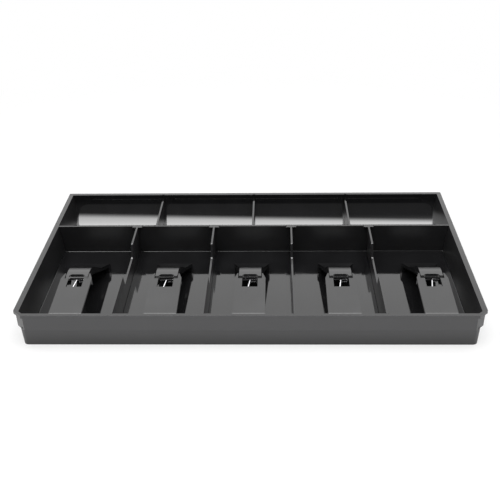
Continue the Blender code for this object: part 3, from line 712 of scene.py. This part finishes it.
def inside_well(x, y, z):
    """Whether a point is on a well's wall and not on the outside."""
    lean = WALL_LEAN * depth_share(z)
    in_x = abs(x) < half_well - lean + 2 * GROOVE
    in_y = note_front + lean - 2 * GROOVE < y < coin_back + 2 * GROOVE
    return in_x and in_y


def sort_faces(piece):
    """Gives the second material to outer walls and the underside, and the third to upright inner walls."""
    for face in piece.data.polygons:
        x, y, z = face.center
        beside = abs(x) > WIDTH / 2 - base_inset[0] - WALL_MARGIN
        before = abs(y) > DEPTH / 2 - base_inset[1] - WALL_MARGIN
        under = z < FLOOR - 2 * GROOVE
        well = inside_well(x, y, z)
        if under or ((beside or before) and face.normal.z < FACES_UP and not well):
            face.material_index = 1
        elif well and (abs(face.normal.x) > UPRIGHT or (abs(face.normal.y) > UPRIGHT and y < cross_back)):
            face.material_index = 2
        else:
            face.material_index = 0


dress(tray, "tray_shell", "tray", "tray_black", gloss_black, satin_black, wall_black)
sort_faces(tray)
print("satin faces:", sum(face.material_index == 1 for face in tray.data.polygons))

# %% [markdown]
# A note divider is a thin blade with a dip, where a finger reaches under the notes. A hook on its rear end
# lies in a notch of the cross wall. One blade is modelled in the middle of the tray and copied, each copy
# with its own mesh, so that every divider can be lifted out by itself.


# %% Note dividers
NOTE_DIP, DIP_START, DIP_BOTTOM_START = 0.012, 0.0645, 0.071
DIP_BOTTOM_END, DIP_END, DIP_ROUND = 0.121, 0.128, 0.003
BLADE_EDGE = 0.00015


def copy_to(piece, name, place):
    """A copy with its own mesh, moved inside its mesh, so that the object stays at the origin."""
    deselect_all()
    piece.select_set(True)
    bpy.context.view_layer.objects.active = piece
    bpy.ops.object.duplicate(linked=False)
    copy = bpy.context.object
    copy.name = name
    copy.location = place
    bpy.ops.object.transform_apply(location=True, rotation=False, scale=False)
    return copy


def dull_sides(piece):
    """Gives the second material to a blade's two large sides."""
    for face in piece.data.polygons:
        face.material_index = 1 if abs(face.normal.x) > UPRIGHT else 0


def note_blade():
    fit = GROOVE - CLEARANCE
    (front_low, low), (back_low, _), (back_top, _), (front_top, _) = note_outline(fit, RIM)
    dip, front = RIM - NOTE_DIP, -DEPTH / 2
    outline = rounded(
        [
            (front_low, low, 0),
            (back_low, low, 0),
            (back_top, RIM, 0),
            (front + DIP_END, RIM, DIP_ROUND / 2),
            (front + DIP_BOTTOM_END, dip, DIP_ROUND),
            (front + DIP_BOTTOM_START, dip, DIP_ROUND),
            (front + DIP_START, RIM, DIP_ROUND / 2),
            (front_top, RIM, 0),
        ]
    )
    blade = outline_piece("note_blade", outline, (-BLADE / 2, BLADE / 2))
    hook_x = (-HOOK_WIDTH / 2, HOOK_WIDTH / 2)
    hook = box("hook", hook_x, (cross_front - HOOK_REACH, cross_back), (RIM - HOOK_HEIGHT, RIM))
    carve(blade, hook, "UNION")
    soften(blade, BLADE_EDGE)
    return blade


master = note_blade()
for i, x in enumerate(note_divider_x, 1):
    blade = copy_to(master, f"note_blade_{i}", (x, 0.0, 0.0))
    dress(blade, f"note_divider_{i}", f"note_divider_{i}", "divider_black", gloss_black, wall_black)
    dull_sides(blade)
bpy.data.objects.remove(master, do_unlink=True)
print("note dividers:", len(blade.data.polygons), "faces each")

# %% [markdown]
# The coin dividers follow the scoop and stop a little below the rim. They could be drawn anew, but their
# outline is the coin well's own, grown by what reaches into the groove, so that they always fit.

# %% Coin dividers
COIN_TOP_DROP = 0.004
coin_blade_outline = coin_outline(GROOVE - CLEARANCE, RIM - COIN_TOP_DROP)
master = outline_piece("coin_blade", coin_blade_outline, (-BLADE / 2, BLADE / 2))
soften(master, BLADE_EDGE)
for i, x in enumerate(coin_divider_x, 1):
    blade = copy_to(master, f"coin_blade_{i}", (x, 0.0, 0.0))
    dress(blade, f"coin_divider_{i}", f"coin_divider_{i}", "divider_black", gloss_black, wall_black)
    dull_sides(blade)
bpy.data.objects.remove(master, do_unlink=True)
print("coin dividers:", len(blade.data.polygons), "faces each")

# %% [markdown]
# The fixed half of a note clip is a bracket: a barrel on the pin, a flat head, and an arm that falls to a
# wide foot. It could be built from boxes, but its top is one smooth line from the side. So the side is drawn
# as an outline, pulled across, and widened towards the foot.

# %% Bracket outline
BARREL_RADIUS, PIN_RADIUS = 0.005, 0.001
HEAD_HALF, HEAD_FLAT, HEAD_FRONT, SHOULDER_RADIUS = 0.010, 0.005, 0.0019, 0.036
ARM_HALF, ARM_THICKNESS, ARM_DEPTH, CHEEK = 0.0117, 0.002, 0.0065, 0.003
KNEE_FROM_FOOT, KNEE_HEIGHT, KNEE_DEPTH = 0.0124, 0.0115, 0.0034
FOOT_HALF, FOOT_HEIGHT, FOOT_LENGTH = 0.0173, 0.0093, 0.005
FOOT_FRONT, FOOT_BACK_HEIGHT = 0.0015, 0.0045
SHOULDER_STEPS, BARREL_STEPS = 10, 28
FRONT_FACING = 135.0
floor_z = FLOOR - pivot.z
sole_z = floor_z + CLEARANCE
knee = (ARM_LENGTH - KNEE_FROM_FOOT, sole_z + KNEE_HEIGHT)
foot = (ARM_LENGTH, sole_z + FOOT_HEIGHT)
heel = (ARM_LENGTH + FOOT_LENGTH, sole_z + FOOT_BACK_HEIGHT)
shoulder_centre = (HEAD_FLAT, BARREL_RADIUS - SHOULDER_RADIUS)
across, down = knee[0] - shoulder_centre[0], shoulder_centre[1] - knee[1]
arm_slope = math.degrees(math.atan2(down, across) + math.asin(SHOULDER_RADIUS / math.hypot(across, down)))


def shoulder(depth):
    """The arc where the flat head turns down, at a depth below the surface."""
    return arc(shoulder_centre, SHOULDER_RADIUS - depth, 90, 90 - arm_slope, SHOULDER_STEPS)


def arm_half(y):
    """Half the arm's width: slowly wider to the knee, then flared to the foot."""
    start = shoulder(0.0)[-1][0]
    if y < knee[0]:
        share = max((y - start) / (knee[0] - start), 0.0)
        return HEAD_HALF + (ARM_HALF - HEAD_HALF) * share
    return ARM_HALF + (FOOT_HALF - ARM_HALF) * min((y - knee[0]) / KNEE_FROM_FOOT, 1.0)


def bracket_side():
    start = math.degrees(math.asin((BARREL_RADIUS - ARM_DEPTH) / BARREL_RADIUS))
    face_distance = (HEAD_FRONT + BARREL_RADIUS) / math.sqrt(2)
    face_end = FRONT_FACING + math.degrees(math.acos(face_distance / BARREL_RADIUS))
    barrel = [(-HEAD_FRONT, BARREL_RADIUS)]
    barrel += arc((0.0, 0.0), BARREL_RADIUS, face_end, 360 + start, BARREL_STEPS)
    front = foot[0] - FOOT_FRONT
    under = shoulder(ARM_DEPTH) + [(knee[0], knee[1] - KNEE_DEPTH), (front, foot[1] - KNEE_DEPTH)]
    sole = [(front, sole_z), (heel[0], sole_z)]
    return barrel + under + sole + [heel, foot, knee] + shoulder(0.0)[::-1]


def widen(piece, inset=0.0):
    for vertex in piece.data.vertices:
        vertex.co.x = math.copysign(arm_half(vertex.co.y) - inset, vertex.co.x)
    return piece


print("bracket's side:", len(bracket_side()), "points, arm falls at", round(arm_slope, 1), "degrees")

# %% [markdown]
# The bracket is hollow from below, with an even wall. A window in front of its head leaves room for the
# spring's leg, and a pocket in the head's top makes the dark field that is seen there. A nose below the
# lever stops it when it is level, a ledge holds the spring's back leg, and two pegs snap through the floor.
# All these are separate tools for Booleans, because each is easier to change alone.

# %% Hollow, nose and pocket of the bracket
STOP_REACH, STOP_HEIGHT, STOP_ROUND = 0.0085, 0.003, 0.0008
LEVER_TILT, LEVER_PLATE = math.radians(4.6), 0.002
POCKET_DEPTH, POCKET_BACK, POCKET_CORNER, POCKET_SLOPE = 0.0013, 0.001, 0.003, math.radians(10)


def bracket_channel():
    """The hollow below the arm's top wall, between its two cheeks."""
    inner_end = heel[0] - CHEEK
    fall = (inner_end - foot[0]) / FOOT_LENGTH
    end = (inner_end, foot[1] + (heel[1] - foot[1]) * fall - ARM_THICKNESS)
    roof = [(-BARREL_RADIUS - OVERLAP, BARREL_RADIUS - ARM_THICKNESS)] + shoulder(ARM_THICKNESS)
    roof += [(y, z - ARM_THICKNESS) for y, z in (knee, foot)] + [end]
    low = [(y, sole_z - OVERLAP) for y, _ in reversed(roof)]
    return widen(outline_piece("channel", roof + low, (-HEAD_HALF, HEAD_HALF)), CHEEK)


def stop_nose():
    """The lip that stops the lever when it is level."""
    top = BARREL_RADIUS - LEVER_PLATE - CLEARANCE
    corners = [
        (0.0, top, 0),
        (-STOP_REACH, top, STOP_ROUND),
        (-STOP_REACH, top - STOP_HEIGHT, STOP_ROUND),
        (0.0, -BARREL_RADIUS / 2, 0),
    ]
    nose = outline_piece("nose", rounded(corners), (-HEAD_HALF, HEAD_HALF))
    nose.data.transform(Matrix.Rotation(LEVER_TILT, 4, "X"))
    return nose


def head_pocket():
    """A hollow in the head's top, which opens forwards and whose floor rises towards the lever."""
    half = HEAD_HALF - CHEEK
    y_range = (-BARREL_RADIUS - OVERLAP, POCKET_BACK)
    pocket = box("pocket", (-half, half), y_range, (BARREL_RADIUS - POCKET_DEPTH, BARREL_RADIUS + OVERLAP))
    bevel_edges(pocket, upright, POCKET_CORNER, segments=8)
    for vertex in pocket.data.vertices:
        if vertex.co.z < BARREL_RADIUS:
            vertex.co.z += (POCKET_BACK - vertex.co.y) * math.tan(POCKET_SLOPE)
    return pocket


print("pocket:", 1000 * POCKET_DEPTH, "mm deep")

# %% [markdown]
# The order of these steps matters. The nose comes before the channel, which has to leave room for the coil
# in it too. Edges are softened before the ledge, the sole and the pegs are added, which are out of sight and
# stay sharp. A peg's head is a cylinder whose lower end is drawn in, so that it can snap through its hole.

# %% Brackets
BRIDGE_START, WINDOW_CORNER, CLIP_EDGE = -0.0033, 0.0015, 0.00015
WIRE, COIL_RADIUS, COIL_TURNS = 0.0014, 0.0020, 3
BACK_LEG, BACK_LEG_SLOPE = 0.010, math.radians(1.5)
LEDGE_LENGTH, LEDGE_THICKNESS = 0.003, 0.002
SOLE_HALF, SOLE_THICKNESS, PEG_LIP, PEG_HEAD = 0.0115, 0.002, 0.0006, 0.0014


def spring_ledge():
    top = COIL_RADIUS - BACK_LEG * math.sin(BACK_LEG_SLOPE) - WIRE / 2 - CLEARANCE
    x_range = (CHEEK / 2 - HEAD_HALF, HEAD_HALF - CHEEK / 2)
    return box("ledge", x_range, (BACK_LEG - LEDGE_LENGTH, BACK_LEG), (top - LEDGE_THICKNESS, top))


def add_pegs(bracket):
    under = floor_z - FLOOR_THICKNESS - CLEARANCE
    for side in (-1, 1):
        x, y = side * PEG_SPACING / 2, ARM_LENGTH - SOLE_LENGTH / 2
        top = sole_z + SOLE_THICKNESS / 2
        height = top - under + PEG_HEAD / 2
        carve(bracket, rod("peg", PEG_RADIUS, height, (x, y, top - height / 2)), "UNION")
        head = rod("peg_head", PEG_RADIUS + PEG_LIP, PEG_HEAD, (x, y, under - PEG_HEAD / 2))
        for vertex in head.data.vertices:
            if vertex.co.z < under - PEG_HEAD / 2:
                share = (PEG_RADIUS - PEG_LIP) / (PEG_RADIUS + PEG_LIP)
                vertex.co.x = x + (vertex.co.x - x) * share
                vertex.co.y = y + (vertex.co.y - y) * share
        carve(bracket, head, "UNION")


def make_bracket():
    bracket = widen(outline_piece("bracket", bracket_side(), (-HEAD_HALF, HEAD_HALF)))
    carve(bracket, stop_nose(), "UNION")
    carve(bracket, bracket_channel())
    half, reach = HEAD_HALF - CHEEK, STOP_REACH + OVERLAP
    window = box("window", (-half, half), (-reach - BARREL_RADIUS, BRIDGE_START), (-reach, reach))
    bevel_edges(window, upright, WINDOW_CORNER, segments=5)
    carve(bracket, window)
    carve(bracket, head_pocket())
    soften(bracket, CLIP_EDGE)
    carve(bracket, spring_ledge(), "UNION")
    sole_y = (ARM_LENGTH - SOLE_LENGTH, heel[0] - CHEEK / 2)
    carve(bracket, box("sole", (-SOLE_HALF, SOLE_HALF), sole_y, (sole_z, sole_z + SOLE_THICKNESS)), "UNION")
    add_pegs(bracket)
    carve(bracket, rod("bore", PIN_RADIUS + CLEARANCE, 4 * HEAD_HALF, (0, 0, 0), (0, math.pi / 2, 0)))
    return bracket


def place_clips(master, label, node, slot, finish, body="tray"):
    """Five copies of a clip's piece, one at each pivot."""
    for i, x in enumerate(clip_x, 1):
        copy = copy_to(master, f"{label}_{i}", pivot + Vector((x, 0.0, 0.0)))
        dress(copy, f"{node}_{i}", body.replace("#", str(i)), slot, finish)
    count = len(master.data.polygons)
    bpy.data.objects.remove(master, do_unlink=True)
    print(label, count, "faces each")


place_clips(make_bracket(), "bracket_arm", "clip_bracket", "clip_black", clip_gloss)

# %% [markdown]
# The moving half is the lever, a flat paddle that presses the notes down. Two ears reach round the bracket's
# head to the pin, with a sloping gusset in front of each. The ears could be added to a plate, but plate, ears
# and gussets share one side, so the outline is pulled across and the space between the ears is cut out.

# %% Shapes of the lever
LEVER_WIDTH, TIP_CLEARANCE, TIP_TOP_ROUND, TIP_UNDER_ROUND = 0.028, 0.0009, 0.0009, 0.0007
EAR_THICKNESS, EAR_REACH, EAR_ROUND = 0.0034, 0.0038, 0.0016
EAR_TAPER, EAR_TAPER_LENGTH = 0.0028, 0.0085
GUSSET_REACH, WINDOW_WIDTH, WINDOW_FRONT, PLATE_GAP = 0.0105, 0.0138, 0.018, 0.0009
SHELF_DROP, SHELF_THICKNESS, SHELF_REACH, SHELF_ROOT = 0.002, 0.0012, 0.002, 0.0005
lever_tip = -(PIVOT_FROM_FRONT - FRONT_RIM - TIP_CLEARANCE)
plate_top, plate_under = BARREL_RADIUS, BARREL_RADIUS - LEVER_PLATE
plate_end = math.sqrt((BARREL_RADIUS + PLATE_GAP) ** 2 - plate_under**2)


def lever_side():
    return rounded(
        [
            (lever_tip, plate_top, TIP_TOP_ROUND),
            (EAR_REACH, plate_top, EAR_ROUND),
            (EAR_REACH, -EAR_REACH, EAR_ROUND),
            (-EAR_REACH, -EAR_REACH, EAR_ROUND),
            (-GUSSET_REACH, plate_under, EAR_ROUND),
            (lever_tip, plate_under, TIP_UNDER_ROUND),
        ]
    )


def lever_hollow():
    """The space between the ears, open behind and below."""
    behind, low = EAR_REACH + OVERLAP, -EAR_REACH - OVERLAP
    front, high = -GUSSET_REACH - OVERLAP, plate_top + OVERLAP
    outline = [(front, plate_under), (-plate_end, plate_under), (-plate_end, high)]
    outline += [(behind, high), (behind, low), (front, low)]
    inner = LEVER_WIDTH / 2 - EAR_THICKNESS
    return outline_piece("hollow", outline, (-inner, inner))


def lever_shelf():
    top = plate_under - SHELF_DROP
    low, wall_top = top - SHELF_THICKNESS, plate_under + SHELF_ROOT
    front, wall_back = -WINDOW_FRONT - SHELF_THICKNESS, -WINDOW_FRONT - CLEARANCE
    back = -WINDOW_FRONT + SHELF_REACH
    outline = [(wall_back, top), (wall_back, wall_top), (front, wall_top)]
    outline += [(front, low), (back, low), (back, top)]
    return outline_piece("shelf", outline, (-WINDOW_WIDTH / 2, WINDOW_WIDTH / 2))


def ear_taper(side):
    """A turned block that narrows the paddle's rear end along one ear."""
    size = EAR_TAPER_LENGTH
    block = box("ear_taper", (-size, size), (-size, size), (-2 * plate_top, 2 * plate_top))
    middle = Vector((side * (LEVER_WIDTH / 2 - EAR_TAPER / 2), EAR_REACH - EAR_TAPER_LENGTH / 2, 0.0))
    outward = Vector((side * EAR_TAPER_LENGTH, EAR_TAPER, 0.0)).normalized()
    turn = Matrix.Rotation(side * math.atan2(EAR_TAPER, EAR_TAPER_LENGTH), 4, "Z")
    block.data.transform(Matrix.Translation(middle + outward * size) @ turn)
    return block


print("lever: from", round(lever_tip, 4), "to", EAR_REACH, "m along the tray, seen from its pin")

# %% [markdown]
# The spring's leg presses on a shelf below the front edge of the window. Two ribs stiffen the paddle from
# below. The whole lever is modelled level and tilted at the end, because level shapes are easier to measure.

# %% Levers
LEVER_RIB_SPACING, LEVER_RIB, LEVER_RIB_HEIGHT = 0.017, 0.0012, 0.0016
LEVER_RIB_START, LEVER_RIB_END = 0.024, 0.007


def make_lever():
    lever = outline_piece("lever", lever_side(), (-LEVER_WIDTH / 2, LEVER_WIDTH / 2))
    carve(lever, lever_hollow())
    half = WINDOW_WIDTH / 2
    carve(lever, box("window", (-half, half), (-WINDOW_FRONT, 0.0), (plate_under - plate_top, 2 * plate_top)))
    for side in (-1, 1):
        carve(lever, ear_taper(side))
    soften(lever, CLIP_EDGE)
    carve(lever, lever_shelf(), "UNION")
    for side in (-1, 1):
        x = side * LEVER_RIB_SPACING / 2
        rib_x = (x - LEVER_RIB / 2, x + LEVER_RIB / 2)
        rib_y = (lever_tip + LEVER_RIB_END, -LEVER_RIB_START)
        rib_z = (plate_under - LEVER_RIB_HEIGHT, plate_under + SHELF_ROOT)
        carve(lever, box("rib", rib_x, rib_y, rib_z), "UNION")
    carve(lever, rod("bore", PIN_RADIUS + CLEARANCE, 2 * LEVER_WIDTH, (0, 0, 0), (0, math.pi / 2, 0)))
    lever.data.transform(Matrix.Rotation(LEVER_TILT, 4, "X"))
    return lever


place_clips(make_lever(), "lever_paddle", "clip_lever", "clip_black", clip_gloss, "lever_#")

# %% [markdown]
# A steel pin carries each lever. Its ends are chamfered so that it can be pressed through the ears. It is a
# plain cylinder, and only its two end rings are bevelled.

# %% Pins
PIN_INSET, PIN_CHAMFER = 0.0022, 0.0002
pin_length = LEVER_WIDTH - 2 * PIN_INSET
pin = rod("pin", PIN_RADIUS, pin_length, (0, 0, 0), (0, math.pi / 2, 0))
bevel_edges(pin, lambda a, b: abs(a.x - b.x) < TINY, PIN_CHAMFER, segments=2)
place_clips(pin, "pin", "clip_pin", "pin_steel", pin_wire)

# %% [markdown]
# The spring is one wire: a straight leg on the bracket's ledge, three turns round the pin, and a leg that
# leans onto the lever's shelf. A Screw modifier could give the turns but not the legs, so the whole route is
# worked out as points.

# %% Route of the spring's wire
COIL_LEFT, COIL_RIGHT, LEG_SLANT = 0.0006, 0.0062, 0.0024
TURN_POINTS, LEG_POINTS = 28, 10


def spring_route():
    start = math.pi / 2 - BACK_LEG_SLOPE
    end = math.pi / 2 + LEVER_TILT + 2 * math.pi * COIL_TURNS
    along = Vector((0.0, math.cos(BACK_LEG_SLOPE), -math.sin(BACK_LEG_SLOPE)))
    coil = []
    count = round(TURN_POINTS * (end - start) / (2 * math.pi))
    for step in range(count + 1):
        angle = start + (end - start) * step / count
        x = COIL_RIGHT + (COIL_LEFT - COIL_RIGHT) * step / count
        coil.append(Vector((x, COIL_RADIUS * math.cos(angle), COIL_RADIUS * math.sin(angle))))
    back = [coil[0] + along * BACK_LEG * step / LEG_POINTS for step in range(LEG_POINTS, 0, -1)]
    height = plate_under - SHELF_DROP + CLEARANCE + WIRE / 2
    rest = Vector((COIL_LEFT - LEG_SLANT, -WINDOW_FRONT + WIRE / 2, height))
    rest = Matrix.Rotation(LEVER_TILT, 3, "X") @ rest
    front = [coil[-1].lerp(rest, step / LEG_POINTS) for step in range(1, LEG_POINTS + 1)]
    return back + coil + front


print("spring's route:", len(spring_route()), "points")

# %% [markdown]
# A curve through the points gets the wire's thickness and closed ends, and is made a mesh.


# %% Springs
def make_spring():
    line = bpy.data.curves.new("spring_line", "CURVE")
    line.dimensions = "3D"
    line.bevel_depth = WIRE / 2
    line.bevel_resolution = 3
    line.use_fill_caps = True
    route = spring_route()
    spline = line.splines.new("POLY")
    spline.points.add(len(route) - 1)
    for point, place in zip(spline.points, route):
        point.co = (*place, 1.0)
    wire = bpy.data.objects.new("spring", line)
    bpy.context.scene.collection.objects.link(wire)
    deselect_all()
    wire.select_set(True)
    bpy.context.view_layer.objects.active = wire
    bpy.ops.object.convert(target="MESH")
    wire = bpy.context.object
    bpy.ops.object.mode_set(mode="EDIT")
    bpy.ops.mesh.select_all(action="SELECT")
    bpy.ops.mesh.remove_doubles(threshold=TINY)
    bpy.ops.mesh.normals_make_consistent(inside=False)
    bpy.ops.object.mode_set(mode="OBJECT")
    return wire


master = make_spring()
for i, x in enumerate(clip_x, 1):
    place = pivot + Vector((x, 0.0, 0.0))
    spring = copy_to(master, f"spring_wire_{i}", place)
    spring.data.materials.clear()
    spring.data.materials.append(spring_wire)
    smooth(spring, COIL_SMOOTH_ANGLE)
    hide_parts(f"clip_spring_{i}")
    first, last = place + Vector((COIL_RIGHT, 0, 0)), place + Vector((COIL_LEFT, 0, 0))
    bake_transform(spring)
bpy.data.objects.remove(master, do_unlink=True)
print("springs:", len(spring.data.polygons), "faces each")

# %% [markdown]
# The tray stands on a white table. A white floor could be lit until it is white, but that would flood the
# tray with light. Here part of the table glows to the eye and to mirrors only. It glows less near the tray,
# so that the tray's soft shadow stays. To scattered light the table is grey, which keeps the walls dark.

# %% Table
TABLE_SIZE, TABLE_DROP, TABLE_ROUGHNESS = 8.0, 0.0002, 0.7
TABLE_GLOW, SHADOW_RANGE = 0.64, 0.35
TABLE_WHITE, TABLE_GREY = (0.86, 0.86, 0.86), (0.35, 0.35, 0.35)


def seen_rays(nodes):
    """1 for rays from the camera and for mirrored or refracted ones, 0 for light that scatters."""
    seen = nodes.add("LightPath", "Is Camera Ray") + nodes.add("LightPath", "Is Glossy Ray")
    return (seen + nodes.add("LightPath", "Is Transmission Ray")).clamped()


def pale_table():
    deselect_all()
    bpy.ops.mesh.primitive_plane_add(size=TABLE_SIZE, location=(0.0, 0.0, -TABLE_DROP))
    table = bpy.context.object
    table.name = "table"
    finish = Finish("table_paint", Roughness=TABLE_ROUGHNESS)
    glow = finish.add("Emission", "Emission", Strength=1.0)
    seen = seen_rays(finish)
    finish.set(Base_Color=finish.blend_colours(seen, TABLE_GREY, TABLE_WHITE))
    x, y, _ = finish.axes("Object")
    near, far = SHADOW_RANGE**2, (2 * SHADOW_RANGE) ** 2
    share = seen * finish.ramp(x * x + y * y, near, far, TABLE_GLOW, 1.0)
    paint = Value(finish.tree, finish.shader.outputs["BSDF"])
    mixed = finish.add("MixShader", "Shader")
    node = mixed.socket.node
    finish.feed(node.inputs[0], share)
    finish.feed(node.inputs[1], paint)
    finish.feed(node.inputs[2], glow)
    output = finish.tree.nodes["Material Output"]
    finish.feed(output.inputs["Surface"], mixed)
    table.data.materials.append(finish.material)


pale_table()
print("table:", TABLE_SIZE, "m wide")

# %% [markdown]
# What polished plastic shows is its surroundings, so the sky that it mirrors matters more than the power of
# the lamps. The floors mirror the sky low behind the tray, which is bright. The scoops bend up to mirror a
# brighter strip overhead, which draws their long highlight. Above the photographer the sky is dim, so that
# what faces the front stays black. Lamps could do this, but soft ramps over the angle have no hard edges.

# %% Sky
AMBIENT = 0.45
SKY_HORIZON, SKY_BACK, SKY_STRIP, SKY_FRONT = 0.25, 1.4, 8.0, 0.15
BACK_RISE, BACK_FADE = (0.0, 26.0), (60.0, 118.0)
STRIP_RISE, STRIP_END, STRIP_SLANT, STRIP_FADE = (42.0, 64.0), 98.0, 85.0, (-18.0, 14.0)
STRIP_SIDES = (0.10, 0.30)


def pale_sky():
    """White to the camera. Mirrors see its layout, by the angle up from the horizon behind the tray."""
    world = bpy.data.worlds.new("pale_sky")
    world.use_nodes = True
    bpy.context.scene.world = world
    nodes = Nodes(world.node_tree)
    side, forward, height = nodes.axes("Generated")
    angle = height.turned_from(forward) * math.degrees(1.0)
    low = nodes.ease(angle, *BACK_RISE, SKY_HORIZON, SKY_BACK)
    past = nodes.ease(angle, *BACK_FADE)
    plain = low * (1.0 - past) + past * SKY_FRONT
    strip_end = STRIP_END - side * STRIP_SLANT
    strip = nodes.ease(angle, *STRIP_RISE) * (1.0 - nodes.ease(angle - strip_end, *STRIP_FADE))
    narrow = 1.0 - nodes.ease(side * side, *STRIP_SIDES)
    mirrored = plain + strip * narrow * SKY_STRIP
    glossy = nodes.add("LightPath", "Is Glossy Ray")
    white = nodes.add("LightPath", "Is Camera Ray") + nodes.add("LightPath", "Is Transmission Ray")
    white = white.clamped()
    scattered = (1.0 - (white + glossy).clamped()) * AMBIENT
    sky = nodes.tree.nodes["Background"]
    sky.inputs["Color"].default_value = (1.0, 1.0, 1.0, 1.0)
    nodes.feed(sky.inputs["Strength"], white + glossy * mirrored + scattered)


pale_sky()
print("sky: ambient", AMBIENT, "and strip", SKY_STRIP)

# %% [markdown]
# Two kinds of lamp light the rest. A broad key above the front gives the even light by which the satin walls
# are seen, and is hidden from mirrors, because the strip of sky stands for it there. A low panel on each
# side is seen by mirrors only and puts a glint on edges and wires.


# %% Lamps
def soft_box(name, place, target, size, power, diffuse=True, glossy=True):
    lamp = bpy.data.lights.new(name, "AREA")
    lamp.shape = "RECTANGLE"
    lamp.size, lamp.size_y = size
    lamp.energy = power
    holder = bpy.data.objects.new(name, lamp)
    bpy.context.scene.collection.objects.link(holder)
    holder.location = place
    holder.rotation_euler = (Vector(target) - Vector(place)).to_track_quat("-Z", "Y").to_euler()
    holder.visible_diffuse = diffuse
    holder.visible_glossy = glossy


def radiant(level, size):
    """Watts of a lamp whose face has a brightness, where 1 is white."""
    return level * math.pi * size[0] * size[1]


def aimed(azimuth, elevation, distance):
    """A place at an azimuth and elevation in degrees, seen from the tray. Azimuth 0 is behind it."""
    a, e = math.radians(azimuth), math.radians(elevation)
    level = distance * math.cos(e)
    return (level * math.sin(a), level * math.cos(a), distance * math.sin(e))


KEY_PLACE, KEY_SIZE, KEY_POWER = (0.0, -0.25, 1.3), (1.4, 1.2), 22.0
SIDE_SIZE, SIDE_LEVEL = (0.9, 0.6), 6.0
SIDE_AZIMUTH, SIDE_ELEVATION, SIDE_DISTANCE = 90.0, 18.0, 1.5
centre = (0.0, 0.0, 0.0)
soft_box("key", KEY_PLACE, centre, KEY_SIZE, KEY_POWER, glossy=False)
for side in (-1, 1):
    place = aimed(side * SIDE_AZIMUTH, SIDE_ELEVATION, SIDE_DISTANCE)
    soft_box("side_light", place, centre, SIDE_SIZE, radiant(SIDE_LEVEL, SIDE_SIZE), diffuse=False)

# %% [markdown]
